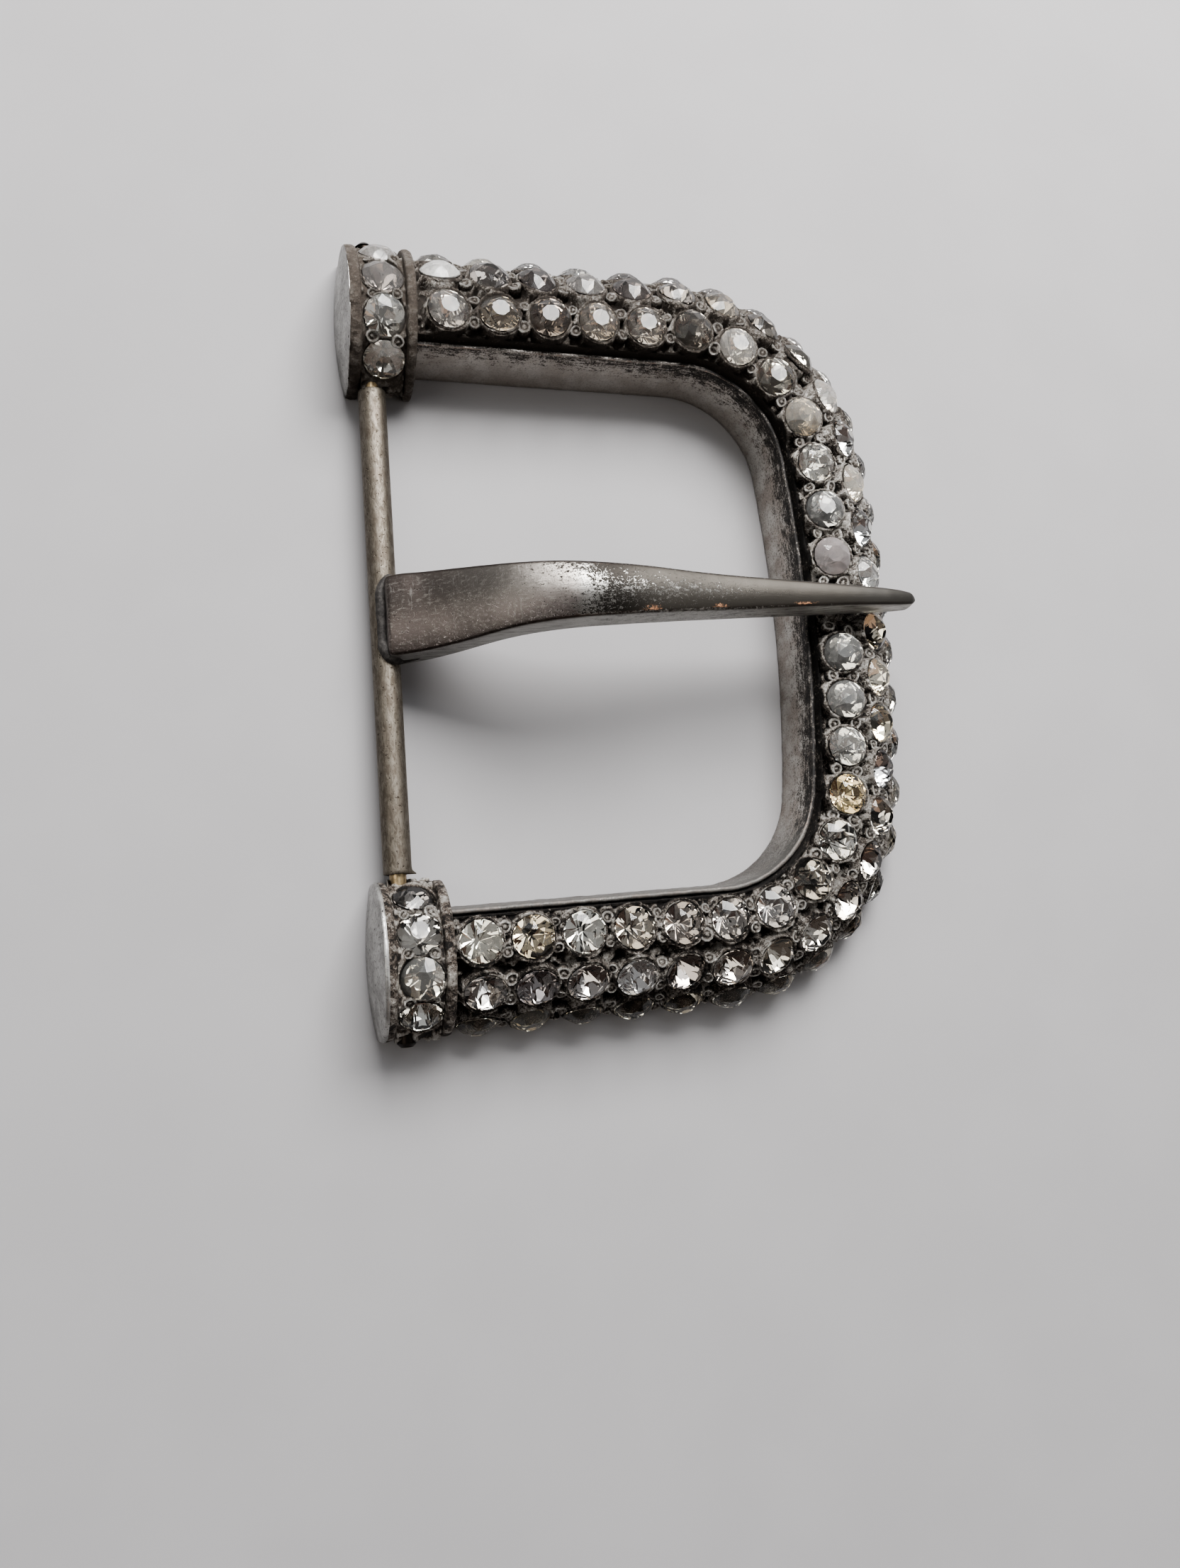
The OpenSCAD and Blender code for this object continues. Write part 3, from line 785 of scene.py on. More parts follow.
CUP = [(STONE_R + 0.02, -0.5), (STONE_R + 0.025, -0.14), (STONE_R + 0.04, -0.06),
       (STONE_R + 0.09, -0.06), (STONE_R + 0.16, -0.18), (STONE_R + 0.28, -0.5)]
CUP_LIFT = [0.0, 1, 1, 1, 0.6, 0.0]
CUP_AROUND = 26
every_centre = np.concatenate([stone_sets[n][0] for n in stone_sets])
every_facing = np.concatenate([leaning[n] for n in stone_sets])
right, over = cross_frame(every_facing)
cups = copies(turned(CUP, CUP_AROUND), every_centre, right, over, every_facing)
shift = (0.18 * grain(cups, 0.75, 41) - 0.07) * np.repeat(CUP_LIFT, CUP_AROUND)
cups = cups + every_facing[:, None, :] * shift[..., None]
add_piece("stone_cups", cups,
          repeat_faces(ring_faces(len(CUP), CUP_AROUND), len(cups), cups.shape[1]),
          crust, "buckle", numbers=dict(relief=0.42 + 0.5 * grain(cups, 0.6, 42)))


BEAD_BESIDE, BEAD_BESIDE_CAP, BEAD_BY_PAD = 1.12, 1.15, 2.45


def bead_places():
    """Places, directions and sizes of the beads: two between each pair of neighbours of a row,
    on both sides of the row's middle line, the same between the stones of a cap, and two on
    each side of the pad. Seeded shifts keep them from lining up."""
    found = []
    random = np.random.default_rng(7)
    for row in range(len(ROWS)):
        s = row_stations(row)
        between = (s[1:] + s[:-1]) / 2
        between = between[np.diff(s) < 6]
        if row == 0:
            between = np.append(between, [REST_S + BEAD_BY_PAD, REST_S - BEAD_BY_PAD])
        row_u = BED_U + (BED_R + STAND) * math.sin(ROW_TILTS[row])
        for sign in (-1, 1):
            beside = BEAD_BESIDE + random.normal(0, 0.08, len(between))
            tilt = ROW_TILTS[row] + sign * beside / BED_R
            along_row = between + random.normal(0, 0.10, len(between))
            found.append((*on_bed(along_row, tilt, 0.0, row_u),
                          random.uniform(0.68, 0.96, len(between))))
    gaps = (CAP_ANGLES[1:] + CAP_ANGLES[:-1]) / 2
    for side in (1, -1):
        for sign in (-1, 1):
            angles = gaps + random.normal(0, 0.015, len(gaps))
            found.append((*on_cap(side, angles, STAND, CAP_STONE_X + sign * BEAD_BESIDE_CAP),
                          random.uniform(0.6, 0.95, len(gaps))))
    return (np.concatenate(column) for column in zip(*found))


BEAD = [(0.80, -0.5), (0.74, 0.28), (0.62, 0.50), (0.50, 0.49), (0.38, 0.28), (0.26, 0.30),
        (0.10, 0.44)]
BEAD_RELIEF = [0.0, 0.35, 1.0, 0.8, 0.3, 0.35, 0.7]
BEAD_AROUND = 10
BEAD_LEAN = 0.16
centres, facing, sizes = bead_places()
bead = turned(BEAD, BEAD_AROUND)
random = np.random.default_rng(8)
facing = unit(facing + random.normal(0, BEAD_LEAN, facing.shape))
right, over = cross_frame(facing)
beads = copies(bead, np.zeros_like(centres), right, over, facing) * sizes[:, None, None]
worn_side = random.uniform(0, 2 * math.pi, (len(centres), 1))
gap = np.maximum(np.cos(round_angles(BEAD_AROUND) - worn_side), 0) ** 2
drop = np.array(BEAD_RELIEF)[None, :, None] * gap[:, None, :] * 0.3
beads = beads - facing[:, None, :] * drop.reshape(len(centres), -1, 1)
beads = beads + centres[:, None, :]
beads = beads + 0.05 * grain(beads, 0.5, 51)[..., None]
bead_faces = repeat_faces(tube_faces(len(BEAD), BEAD_AROUND), len(beads), len(bead))
bead_relief = np.tile(np.repeat(BEAD_RELIEF, BEAD_AROUND), len(beads))
add_piece("bead_prongs", beads, bead_faces, crust, "buckle", numbers=dict(relief=bead_relief))

# %% [markdown]
# ## Finish: glass on foil
# A rhinestone is cut glass with a mirror foil on its back. In the mesh the crown is clear glass
# and the pavilion is a metal mirror, one closed solid with two materials, so light enters
# through the crown, bounces between the foil facets, and leaves through the crown again, as in
# the real stone. Age has turned some of them yellow, foggy or dull, which three numbers on each
# stone say.

# %% Glass and foil
def crown_finish():
    """Clear glass. Warmth yellows it, dullness greys it, and fog roughens it and lets less
    light through. The film of dirt on old stones halves the reflection at their surface."""
    f = Finish("stone_glass", (0.975, 0.985, 0.98))
    fog = f.number("fog")
    f.cover(f.number("warmth"), (0.93, 0.85, 0.62))
    f.cover(f.number("dull"), (0.40, 0.36, 0.355))
    film = f.step(f.noise(0.5, 3, 0.6), 0.55, 0.8, 0.0, 0.10)
    return f.set(Base_Color=f.colour, Metallic=0.0, IOR=1.5,
                 Transmission_Weight=f.less(1.0, f.times(fog, 0.6)),
                 Roughness=f.add(f.times(fog, 0.42), film), Specular_Tint=(0.5, 0.5, 0.5))


def foil_finish():
    """A mirror that takes the same warmth and dullness, and has brown spots."""
    f = Finish("stone_foil", (0.93, 0.93, 0.92))
    f.cover(f.number("warmth"), (0.86, 0.70, 0.42))
    f.cover(f.number("dull"), (0.42, 0.375, 0.365))
    f.paint(f.noise(0.45, 4, 0.65), 0.60, 0.75, (0.36, 0.28, 0.22), 0.4)
    return f.set(Base_Color=f.colour, Metallic=1.0,
                 Roughness=f.add(f.times(f.number("fog"), 0.3), 0.04))


glass, foil = crown_finish(), foil_finish()
print("stone finishes:", glass.name, foil.name)

# %% [markdown]
# ## The stones
# Each stone is a brilliant: a table, star and kite facets and upper halves on the crown, and
# eight mains and sixteen lower halves below. Real ones are set a little askew, and exactly that
# makes their facets light up differently, so every stone gets a seeded turn and lean.

# %% Stones
CROWN_H, TABLE_SHARE, KITE_SHARE, FACET_SHARE = 0.78, 0.44, 0.76, 0.8


def brilliant():
    """Points and faces of one stone about the top of its girdle. Rings of 8, 8, 16, 16 and 8
    points at their own radius, height and turn, and one point at the bottom."""

    def ring(radius, height, count, turn):
        """Points of a circle at one height."""
        a = round_angles(count, turn)
        return np.stack([radius * np.cos(a), radius * np.sin(a), np.full(count, height)], 1)

    r = STONE_R
    kite_r = r * KITE_SHARE
    kite_z = CROWN_H * (r - kite_r * math.cos(math.pi / 8)) / (r * (1 - TABLE_SHARE))
    low_r = r * FACET_SHARE
    low_z = -GIRDLE - PAVILION_H * (1 - FACET_SHARE * math.cos(math.pi / 8))
    points = np.concatenate([ring(r * TABLE_SHARE, CROWN_H, 8, 0), ring(kite_r, kite_z, 8, 0.5),
                             ring(r, 0, 16, 0), ring(r, -GIRDLE, 16, 0),
                             ring(low_r, low_z, 8, 0.5), [[0, 0, -GIRDLE - PAVILION_H]]])
    i, j = np.arange(8), np.arange(16)
    n, m = (i + 1) % 8, (j + 1) % 16
    before, later = 8 + (i + 7) % 8, (2 * i + 2) % 16
    crown = [(i, 8 + i, n), (i, 16 + 2 * i, 8 + i), (i, before, 16 + 2 * i),
             (8 + i, 16 + 2 * i, 17 + 2 * i), (8 + i, 17 + 2 * i, 16 + later),
             (16 + j, 32 + j, 32 + m, 16 + m)]
    pavilion = [(32 + 2 * i, 40 + before, 56 + 0 * i, 48 + i), (32 + 2 * i, 48 + i, 33 + 2 * i),
                (33 + 2 * i, 48 + i, 32 + later)]
    crown, pavilion = ([face for corners in part for face in np.stack(corners, 1).tolist()]
                       for part in (crown, pavilion))
    return points, [list(range(8))] + crown, pavilion


# Stones that have aged in their own way: number from the row's lower end, then its warmth, fog
# and dullness. A cap's stones are numbered from the one nearest the opening.
AGED = {
    "inner": {0: (0.15, 0.0, 0.0), 2: (0.1, 0.0, 0.0), 3: (0.2, 0.0, 0.3), 4: (0.15, 0.0, 0.45),
              5: (0.1, 0.0, 0.35), 6: (0.05, 0.0, 0.35), 8: (0.1, 0.0, 0.0), 9: (0.50, 0.0, 0.0),
              10: (0.1, 0.08, 0.0), 11: (0.1, 0.10, 0.0), 12: (0.1, 0.10, 0.0),
              13: (0.10, 0.4, 0.9), 14: (0.05, 0.08, 0.0), 15: (0.1, 0.05, 0.0),
              16: (0.40, 0.20, 0.3), 18: (0.15, 0.15, 0.2)},
    "middle": {0: (0.1, 0.0, 0.4), 2: (0.1, 0.0, 0.5), 4: (0.2, 0.0, 0.6), 5: (0.2, 0.0, 0.5),
               17: (0.3, 0.2, 0.2), 19: (0.2, 0.25, 0.3), 28: (0.1, 0.4, 0.1)},
    "upper_cap": {0: (0.15, 0.15, 0.1), 1: (0.10, 0.10, 0.0), 2: (0.15, 0.15, 0.6),
                  3: (0.15, 0.2, 0.5)},
    "lower_cap": {0: (0.15, 0.0, 0.45), 1: (0.10, 0.0, 0.2), 2: (0.20, 0.10, 0.1)}}
HAZY_PAST = 36


def ageing_and_reflection(name, count, random):
    """Warmth, fog and dullness of every stone of a set. Small seeded numbers come first. The
    rows are hazier at the end of the top rail and duller or warmer along the lower one, each by
    its own smooth step. The outer row's warmth there is a painted reflection of warm
    surroundings. The stones in the table take the numbers given there."""
    warmth = np.clip(random.normal(0.16, 0.1, count), 0.02, 0.4)
    fog = np.clip(random.normal(0.0, 0.05, count), 0, 0.2)
    dull = np.clip(random.normal(0.05, 0.15, count), 0, 0.4)
    if name in ALL_ROWS:
        s = row_stations(ALL_ROWS.index(name))
        hazy, lower = ease(s, HAZY_PAST - 10, HAZY_PAST), ease(-s, 10, 26)
        fog, dull = fog + 0.03 * hazy, dull + 0.2 * hazy
        # Painted reflection: the outer row along the lower rail is warmed to show the rust tone of
        # warm surroundings in its facets.
        if name.startswith("outer"):
            warmth = warmth + 0.08 * lower
        if name.startswith("middle"):
            dull = dull + 0.3 * lower + 0.25 * hazy
        if name.startswith("inner"):
            dull = dull + 0.1 * hazy
    for number, values in AGED.get(name.replace("_row", "").replace("_stones", ""), {}).items():
        warmth[number], fog[number], dull[number] = values
    return dict(warmth=warmth, fog=fog, dull=dull)


def set_stones(name, seed):
    """Copies the stone to every place of a set, each with its own lean and a seeded turn
    about its facing direction."""
    random = np.random.default_rng(seed)
    centres, tipped = stone_sets[name][0], leaning[name]
    count = len(centres)
    right, over = cross_frame(tipped)
    turn = random.uniform(0, math.pi / 4, count)[:, None]
    turned_right = right * np.cos(turn) + over * np.sin(turn)
    turned_over = over * np.cos(turn) - right * np.sin(turn)
    points, crown, pavilion = brilliant()
    placed = copies(points, centres, turned_right, turned_over, tipped)
    numbers = {key: np.repeat(values, len(points))
               for key, values in ageing_and_reflection(name, count, random).items()}
    piece = add_piece(name.replace("_stones", "_rhinestones"), placed,
                      repeat_faces(crown + pavilion, count, len(points)), [glass, foil],
                      "buckle", slots=([0] * len(crown) + [1] * len(pavilion)) * count,
                      smooth=False, numbers=numbers)
    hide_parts(name)


for seed, name in enumerate(stone_sets):
    set_stones(name, 100 + seed)

# %% [markdown]
# ## Finish: worn plating
# The tongue was silver plated over copper. Handling has left it bright over the top of the
# arch, pitted black beyond it, and rubbed to copper in spots along the lower edge, while the
# base kept a dull grey-brown film. The bright band over the arch is also a painted highlight,
# set where the light catches the arch. The pits just past it are painted darker, as painted
# shade that cuts the highlight short. The corners of the top and sides carry painted shade,
# strongest near the base. The finish follows the place along the tongue, and pits and
# scratches run along it. The sleeve, the solder and the rod get plainer finishes of their own.

# %% Worn plating
def plating_finish():
    """Layers in the order in which they came: film with scratches, silver where it is rubbed
    bright, which is also a painted highlight over the arch, black pits from past the arch on,
    darkest just past the highlight as painted shade, the dark tip, painted shade along the
    corners, copper spots, and the pale side. Each border is a smooth step along the tongue,
    broken up by noise."""
    f = Finish("worn_silver_plating", (0.080, 0.067, 0.061))
    x, beside = f.number("along"), f.number("beside")
    pits = f.noise(0.28, 6, 0.85, stretch=(0.7, 1.0, 1.0), warp=0.5)
    fine = f.noise(0.12, 4, 0.75)
    cloud = f.noise(3.4, 4, 0.6)
    lines = f.noise(0.26, 5, 0.75, stretch=(0.10, 1.0, 1.0))
    crossed = f.noise(0.22, 3, 0.7, stretch=(1.0, 0.12, 0.12))
    f.paint(x, 2.0, 11.0, (0.165, 0.152, 0.139))
    f.paint(beside, 0.3, -0.7, (0.170, 0.145, 0.137), 0.7)
    f.paint(cloud, 0.35, 0.65, (0.075, 0.068, 0.062), 0.35)
    f.paint(lines, 0.5, 0.68, (0.25, 0.236, 0.215), 0.6)
    f.paint(crossed, 0.60, 0.68, (0.31, 0.30, 0.28), 0.3)
    silver = f.mix(f.step(x, 20.0, 26.0), (0.33, 0.323, 0.305), (0.50, 0.488, 0.46))
    silver = f.mix(f.step(lines, 0.42, 0.58, 0.0, 0.6), silver, (0.13, 0.122, 0.110))
    # Rubbed silver over the arch, which is also a painted highlight: it starts where the light
    # catches the arch.
    bright = f.times(f.step(x, 13.5, 18.0), f.step(x, 48.0, 38.0))
    patchy = f.add(f.spread(pits, 1.0), f.spread(lines, 1.2))
    f.paint(f.add(bright, patchy), 0.3, 0.9, silver)
    worn = f.add(f.spread(pits, 5.0), f.spread(fine, 2.6))
    # The pits are painted denser from the arch on and darkest just past it: painted shade that
    # cuts the highlight short.
    zone = f.add(f.step(x, 15.0, 20.0, 0.0, 0.72), f.step(x, 27.0, 42.0, 0.0, 0.66))
    zone = f.add(zone, f.times(f.maths("ABSOLUTE", beside), f.step(x, 18.0, 30.0, 0.5, 0.85)))
    dark = f.step(f.add(worn, f.times(zone, f.step(x, 10.0, 16.0))), 0.50, 0.78)
    f.cover(dark, f.mix(f.step(x, 19.0, 25.0), (0.022, 0.020, 0.018), (0.068, 0.063, 0.056)))
    tip = f.step(f.add(x, f.spread(cloud, 6.0)), 42.0, 47.5)
    f.cover(f.times(tip, 0.85), (0.068, 0.065, 0.060))
    # Painted shade along the corners of the top and sides, strongest towards the base.
    crease_shade = f.step(f.add(f.number("edge"), f.spread(lines, 0.9)), 0.55, 1.0)
    f.cover(f.times(crease_shade, f.step(x, 26.0, 16.0, 0.35, 0.95)), (0.045, 0.036, 0.032))
    f.paint(f.add(f.number("rub"), f.spread(pits, 2.6)), 0.75, 1.1, (0.78, 0.44, 0.27))
    f.cover(f.times(f.number("side"), f.step(lines, 0.3, 0.6, 0.2, 0.95)), (0.50, 0.495, 0.475))
    f.bump(f.less(f.times(fine, 0.5), f.add(dark, f.times(lines, -0.5))), 0.024)
    rough = f.add(f.step(dark, 0.0, 1.0, 0.30, 0.5), f.step(x, 18.0, 14.0, 0.0, 0.10))
    return f.set(Base_Color=f.colour, Metallic=1.0, Roughness=rough)


def sleeve_finish():
    """Brown-grey metal with streaks round the tube, cloudy patches and dark specks."""
    f = Finish("satin_nickel_sleeve", (0.085, 0.073, 0.059))
    streak = f.noise(0.40, 5, 0.75, stretch=(1.0, 0.35, 1.0), warp=0.6)
    specks = f.noise(0.26, 3, 0.6, warp=0.4)
    f.paint(streak, 0.35, 0.65, (0.175, 0.158, 0.134))
    f.paint(f.noise(2.0, 4, 0.65), 0.45, 0.7, (0.10, 0.083, 0.068), 0.6)
    f.paint(specks, 0.61, 0.68, (0.045, 0.037, 0.030))
    f.bump(f.less(streak, f.step(specks, 0.61, 0.68, 0.0, 0.8)), 0.022)
    return f.set(Base_Color=f.colour, Metallic=1.0, Roughness=f.step(streak, 0.3, 0.7, 0.60, 0.48))


def solder_finish():
    """Lumpy and nearly black."""
    f = Finish("dark_solder", (0.024, 0.022, 0.021))
    lump = f.noise(0.5, 4, 0.65)
    f.paint(lump, 0.4, 0.65, (0.058, 0.054, 0.051))
    f.bump(lump, 0.04)
    return f.set(Base_Color=f.colour, Metallic=0.2, Roughness=0.7, Specular_IOR_Level=0.25)


def rod_finish():
    """Brass with dark lines, and painted shade past the caps, where the rod's heads are: nearly
    black there, for the shadow they lie in.
    """
    f = Finish("dull_brass_rod", (0.22, 0.165, 0.10))
    lines = f.noise(0.25, 4, 0.65, stretch=(1.0, 0.15, 1.0))
    f.paint(f.noise(0.9, 4, 0.65), 0.35, 0.65, (0.46, 0.36, 0.22))
    f.paint(lines, 0.55, 0.72, (0.06, 0.046, 0.032), 0.7)
    # Painted shade: past the caps, on the rod's heads, the brass is painted nearly black for the
    # shadow there.
    f.paint(f.maths("ABSOLUTE", f.y()), 35.5 * MM, 36.8 * MM, (0.016, 0.013, 0.011))
    f.bump(lines, 0.015)
    return f.set(Base_Color=f.colour, Metallic=1.0, Roughness=0.36)


plating, nickel, solder, brass = plating_finish(), sleeve_finish(), solder_finish(), rod_finish()
print("moving metal:", plating.name, nickel.name, solder.name, "and", brass.name)

# %% [markdown]
# ## The tongue
# The tongue is a flat bar, crowned on top, arched over the opening and drawn down to a blunt
# tip. It is a loft: a few measured sections, with a smooth curve through each of their numbers,
# and a ring of points for every step along it. Its four long edges are slightly rounded.

# %% Tongue
# Each section: its distance from the rod, the height of its upper edge, its width and its
# thickness. The first two lie behind the tongue's base and only steer the curve there.
SECTIONS = np.array([
    [-0.8, 4.2, 5.6, 1.6], [-0.1, 4.6, 7.2, 2.2], [1.2, 5.2, 7.6, 2.9], [3.4, 6.2, 7.4, 3.2],
    [5.9, 7.8, 7.0, 3.2], [10.8, 11.2, 5.9, 3.2], [15.3, 12.7, 5.3, 3.1],
    [21.5, 12.8, 4.6, 3.0], [29.0, 11.8, 3.6, 2.8], [36.5, 11.1, 2.8, 2.7],
    [43.7, 10.5, 2.1, 2.6], [48.5, 9.9, 1.7, 2.2], [51.4, 9.2, 1.2, 1.6], [52.4, 8.7, 0.5, 0.8]])
CROWN_SHARE, SIDE_DRAFT, TONGUE_Y = 0.12, 0.25, (0.7, 1.3)
EDGE_ROUND, BASE_ROUND, TIP_START, TIP_LEN = 0.28, 0.3, 51.5, 0.88
TONGUE_STEPS, TOP_STEPS, UNDER_STEPS = 300, 15, 7


def through(x):
    """Smooth values of the sections' columns at distances x: the cubic between two sections
    whose slopes come from their neighbours on each side."""
    table = SECTIONS
    before = table[np.maximum(np.arange(len(table)) - 1, 0)]
    after = table[np.minimum(np.arange(len(table)) + 1, len(table) - 1)]
    slope = (after - before) / (after[:, :1] - before[:, :1])
    i = np.clip(np.searchsorted(table[:, 0], x, "right") - 1, 0, len(table) - 2)
    w = (table[i + 1, 0] - table[i, 0])[:, None]
    t = ((x - table[i, 0])[:, None]) / w
    return ((2 * t ** 3 - 3 * t ** 2 + 1) * table[i] + (t ** 3 - 2 * t ** 2 + t) * w * slope[i]
            + (3 * t ** 2 - 2 * t ** 3) * table[i + 1] + (t ** 3 - t ** 2) * w * slope[i + 1])


def bend(a, corner, b, steps):
    """Points from a to b round a corner: the quadratic curve that leaves towards the corner
    and arrives from it."""
    t = np.linspace(0, 1, steps)[None, :, None]
    return (1 - t) ** 2 * a[:, None] + 2 * t * (1 - t) * corner[:, None] + t ** 2 * b[:, None]


def tongue_ring(x):
    """Rings of (y, z) at distances x: the crowned top from one rounded corner to the other,
    down the side, along the underside and up again. Also returns how near each point of the
    ring is to a corner, and whether it is on a side."""
    _, edge, width, thick = through(x).T
    y0 = TONGUE_Y[0] + (TONGUE_Y[1] - TONGUE_Y[0]) * x / SECTIONS[-1, 0]
    half = width / 2
    r = np.minimum(EDGE_ROUND, 0.35 * np.minimum(half, thick))
    even = np.linspace(1, -1, TOP_STEPS)
    q = even[None, :] * (1 - r / half)[:, None]
    top = np.stack([y0[:, None] + q * half[:, None],
                    edge[:, None] + CROWN_SHARE * width[:, None] * (1 - q ** 2)], -1)
    marks = np.array([0.9, 1.0, 0.9, 0.6, 0.3, 0.1, 0, 0, 0, 0, 0, 0, 0, 0])
    flags = np.array([0, 0, 0.5, 0.8, 1, 1, 1, 1, 1, 1, 0.8, 0.5, 0.3, 0])
    runs = []
    for sign in (-1, 1):
        upper = np.stack([y0 + sign * half, edge], 1)
        lower = np.stack([y0 + sign * (half + SIDE_DRAFT), edge - thick], 1)
        down = unit(lower - upper)
        start = top[:, -1] if sign < 0 else top[:, 0]
        corner = bend(start, upper, upper + down * r[:, None], 5)[:, 1:]
        t = np.linspace(0, 1, 8)[None, 1:-1, None]
        flank = corner[:, -1:] * (1 - t) + (lower - down * r[:, None])[:, None] * t
        inward = np.stack([np.full_like(r, -sign), np.zeros_like(r)], 1)
        foot = bend(lower - down * r[:, None], lower, lower + inward * r[:, None], 4)
        runs.append(np.concatenate([corner, flank, foot], 1))
    first, second = runs[0], runs[1][:, ::-1]
    t = np.linspace(0, 1, UNDER_STEPS + 2)[None, 1:-1, None]
    under = first[:, -1:] * (1 - t) + second[:, :1] * t
    plain = np.zeros(UNDER_STEPS)
    near = np.concatenate([np.abs(even) ** 6 * 0.7, marks, plain, marks[::-1]])
    on_side = np.concatenate([np.zeros(TOP_STEPS), flags, plain, flags[::-1]])
    return np.concatenate([top, first, under, second], 1), near, on_side


def tongue_surface():
    """All rings, with both ends drawn in: at the base over a rounded edge, and at the tip as
    a quarter of an ellipse, by scaling the ring towards its own middle."""
    base = np.linspace(0, math.pi / 2, 7)[:-1]
    tip = np.linspace(0, math.pi / 2, 9)[1:]
    x = np.concatenate([BASE_ROUND * (1 - np.cos(base)),
                        np.linspace(BASE_ROUND, TIP_START, TONGUE_STEPS),
                        TIP_START + TIP_LEN * np.sin(tip)])
    ring, near, on_side = tongue_ring(x)
    scale = np.concatenate([0.86 + 0.14 * np.sin(base), np.ones(TONGUE_STEPS),
                            np.maximum(np.cos(tip), 0.02)])
    middle = (ring.min(1, keepdims=True) + ring.max(1, keepdims=True)) / 2
    ring = middle + (ring - middle) * scale[:, None, None]
    points = np.concatenate([np.broadcast_to(x[:, None, None], (*ring.shape[:2], 1)), ring], 2)
    return points, near, on_side


points, near, on_side = tongue_surface()
rings, around = points.shape[:2]
dents = 0.02 * grain(points, 3.0, 61) + 0.012 * grain(points, 0.9, 62)
points = points + np.array([0, 0, 1.0]) * dents[..., None]
RUB_AT = np.array([22.9, 29.9, 39.0])
RUB_LEN = np.array([1.5, 1.3, 1.9])
rub = np.exp(-((points[..., 0, None] - RUB_AT) / RUB_LEN) ** 2).sum(-1)
lower_edge = np.exp(-((np.arange(around) - 13.8) / 1.7) ** 2)
beside = np.zeros(around)
beside[:TOP_STEPS] = np.linspace(1, -1, TOP_STEPS)
tongue = add_piece("arched_tongue", points, tube_faces(rings, around), plating,
                   "swinging_tongue",
                   numbers=dict(along=points[..., 0], edge=np.tile(near, rings),
                                beside=np.tile(beside, rings), side=np.tile(on_side, rings),
                                rub=rub * lower_edge[None, :]))
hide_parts("tongue")

# %% [markdown]
# ## The sleeve and its solder
# The sleeve is a thin tube, rolled from sheet, open at its lower end where a little of the rod
# shows and a small burr was left when it was cut. It is a grid that wraps in two directions. A
# dark ring of solder runs round the base of the tongue, as a tube along a curved path whose
# thickness swells and thins. The rod keeps its own solid and only gets a finish.

# %% Sleeve and solder
PIVOT_Z, SLEEVE_R, BORE_R = 2.6, 1.3, 0.9
SLEEVE_TOP, SLEEVE_LOW, SLEEVE_STEPS = 23.2, -22.9, 150
LIP = 0.05
BURR_AT, BURR_WIDTH, BURR_LEN = math.pi / 2 - 0.25, 0.2, 0.45
END_REACH, RIPPLE = 0.25, 0.03


def sleeve_surface():
    """A tube along Y whose rows run down the outside and back up the inside. The lower end is
    a little uneven, and a burr pulls its rim outwards over a narrow angle."""
    angle = round_angles(64)
    y = np.concatenate([np.linspace(SLEEVE_TOP - LIP, SLEEVE_LOW + LIP, SLEEVE_STEPS),
                        [SLEEVE_LOW, SLEEVE_LOW, SLEEVE_LOW + 0.3, SLEEVE_TOP - 0.3,
                         SLEEVE_TOP, SLEEVE_TOP]])
    r = np.concatenate([np.full(SLEEVE_STEPS, SLEEVE_R),
                        [SLEEVE_R - LIP, BORE_R + LIP, BORE_R, BORE_R, BORE_R + LIP,
                         SLEEVE_R - LIP]])
    burr = np.exp(-((angle - BURR_AT) / BURR_WIDTH) ** 2)
    at_end = np.exp(-((y - SLEEVE_LOW) / END_REACH) ** 2)[:, None]
    outside = (r > SLEEVE_R - 0.1)[:, None]
    radius = r[:, None] + BURR_LEN * outside * at_end * burr[None, :]
    ripple = RIPPLE * np.sin(3 * angle + 1)[None, :] * at_end
    return np.stack([radius * np.sin(angle), y[:, None] + ripple,
                     PIVOT_Z + radius * np.cos(angle)], -1)


points = sleeve_surface()
add_piece("rod_sleeve", points, ring_faces(*points.shape[:2]), nickel, "swinging_tongue")

SOLDER_R, SOLDER_HALF, SOLDER_X, SOLDER_CORNER = 0.50, 3.72, -0.32, 1.6
GRIP_R = 1.25


def solder_surface():
    """A bead of metal along the edge of the tongue's base: a U in plan, held on the sleeve or
    on the tongue's side, with a thickness that swells and thins and comes to nothing at both
    ends."""
    t = np.linspace(-1, 1, 120)
    y = SOLDER_HALF * np.sign(t) * np.minimum(np.abs(t) / 0.62, 1)
    past = np.maximum(np.abs(t) - 0.55, 0) / 0.45
    round_in = ease(np.abs(y), SOLDER_HALF - SOLDER_CORNER, SOLDER_HALF)
    x = SOLDER_X + 0.55 * round_in ** 2 + 2.9 * past ** 1.4
    on_sleeve = GRIP_R ** 2 - np.clip(x, -GRIP_R, GRIP_R) ** 2
    on_sleeve = PIVOT_Z + np.sqrt(np.maximum(on_sleeve, 0.05))
    z = np.where(x < 1.0, on_sleeve, np.maximum(on_sleeve, 2.9 + 0.5 * (x - 1.0)))
    blob = 0.22 * np.exp(-((t + 0.62) / 0.12) ** 2)
    swell = 0.03 * np.sin(9 * t) + 0.02 * np.sin(23 * t) + blob
    size = ((SOLDER_R + swell) * np.sqrt(np.clip(1 - t ** 6, 0.01, 1)))[:, None, None]
    path = np.stack([x, TONGUE_Y[0] + y, z], 1)
    tangent = unit(np.gradient(path, axis=0))
    side = unit(np.cross(tangent, (0.0, 0.0, 1.0)))
    above = np.cross(side, tangent)
    angle = round_angles(14)[None, :, None]
    return path[:, None] + size * (side[:, None] * np.cos(angle) + above[:, None] * np.sin(angle))


points = solder_surface()
add_piece("base_solder", points, tube_faces(*points.shape[:2]), solder, "swinging_tongue")

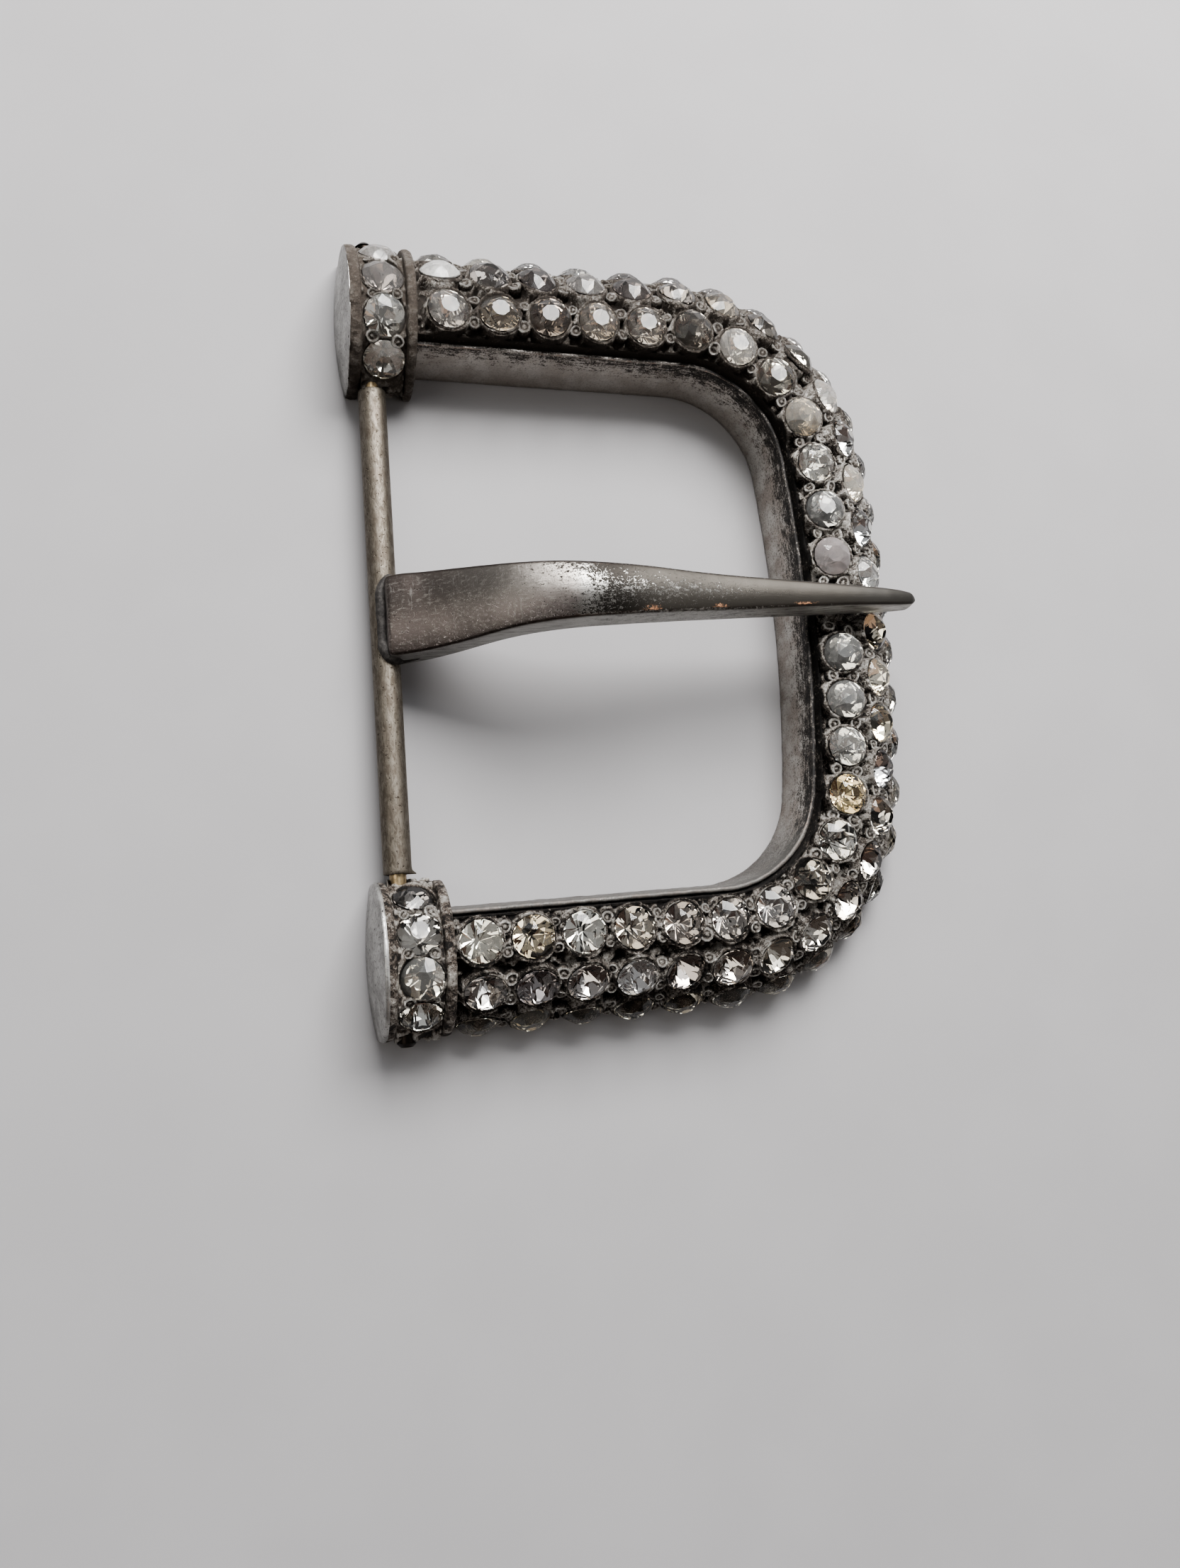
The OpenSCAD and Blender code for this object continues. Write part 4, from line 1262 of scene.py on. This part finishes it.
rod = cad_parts["hinge_rod"]
rod.data.materials.clear()
rod.data.materials.append(brass)
print("the rod keeps its solid, with", brass.name)

# %% [markdown]
# ## Floor and light
# The buckle lies on a plain pale surface. One large soft light above the far side gives the
# highlights and the soft shadows. The sky supplies what cut glass needs: a grey room that is
# paler towards the far side, three bright patches, of which the largest is a cool window, and
# two dim warm ones, all with fairly sharp borders.

# %% Floor
HALF_FLOOR = 1.5
floor_mesh = bpy.data.meshes.new("floor")
floor_mesh.from_pydata([(-HALF_FLOOR, -HALF_FLOOR, 0), (HALF_FLOOR, -HALF_FLOOR, 0),
                        (HALF_FLOOR, HALF_FLOOR, 0), (-HALF_FLOOR, HALF_FLOOR, 0)],
                       [], [[0, 1, 2, 3]])
floor = bpy.data.objects.new("floor", floor_mesh)
bpy.context.scene.collection.objects.link(floor)
paper = Finish("pale_floor", (0.250, 0.245, 0.249))
paper.paint(paper.noise(14, 3, 0.5), 0.3, 0.7, (0.260, 0.255, 0.259))
floor_mesh.materials.append(paper.set(Base_Color=paper.colour, Roughness=0.85))
print("floor", 2 * HALF_FLOOR, "m wide")

# %% Sky and key light
# Patches of the sky: its direction, how close a look must be to it for none and for all of the
# patch, and its colour.
PATCHES = [((-0.1, -0.62, 0.78), 0.93, 0.96, (0.15, 0.108, 0.097)),
           ((0.12, 0.62, 0.76), 0.90, 0.93, (5.0, 5.2, 5.4)),
           ((-0.70, 0.0, 0.70), 0.93, 0.95, (3.6, 3.5, 3.3)),
           ((0.75, -0.3, 0.6), 0.965, 0.975, (3.2, 3.1, 3.0)),
           ((0.2, -0.9, 0.42), 0.95, 0.96, (0.64, 0.47, 0.385))]


class Sky(Finish):
    """The world's background, whose coordinates are the direction looked in."""

    def __init__(self, colour):
        """Makes the world and keeps the same parts of it."""
        world = bpy.data.worlds.new("studio")
        bpy.context.scene.world = world
        world.use_nodes = True
        self.material = world
        self.tree = world.node_tree
        self.shader = self.tree.nodes["Background"]
        self.coords = self.tree.nodes.new("ShaderNodeTexCoord").outputs["Generated"]
        self.colour = colour

    def along(self, direction):
        """How far the direction looked in points along a given one: their dot product."""
        node = self.tree.nodes.new("ShaderNodeVectorMath")
        node.operation = "DOT_PRODUCT"
        self.link(self.coords, node.inputs[0])
        node.inputs[1].default_value = Vector(direction).normalized()
        return node.outputs["Value"]


sky = Sky((0.16, 0.138, 0.126))
sky.paint(sky.along((0.1, 0.75, 0.65)), -0.1, 0.9, (0.60, 0.62, 0.65))
for direction, none, all_of_it, tone in PATCHES:
    sky.paint(sky.along(direction), none, all_of_it, tone)
sky.set(Color=sky.colour, Strength=0.58)
bpy.context.scene.view_settings.look = "AgX - Medium High Contrast"

key_data = bpy.data.lights.new("key", "AREA")
key_data.shape = "RECTANGLE"
key_data.size, key_data.size_y = 0.26, 0.20
key_data.energy = 4.75
key_data.color = (1.0, 0.985, 0.97)
key = bpy.data.objects.new("key", key_data)
key_at = Vector((0.06, 0.265, 0.27))
key.matrix_world = Matrix.Translation(key_at) @ key_at.to_track_quat("Z", "Y").to_matrix().to_4x4()
bpy.context.scene.collection.objects.link(key)
print("sky with", len(PATCHES), "patches, key light at", [round(v, 3) for v in key_at])
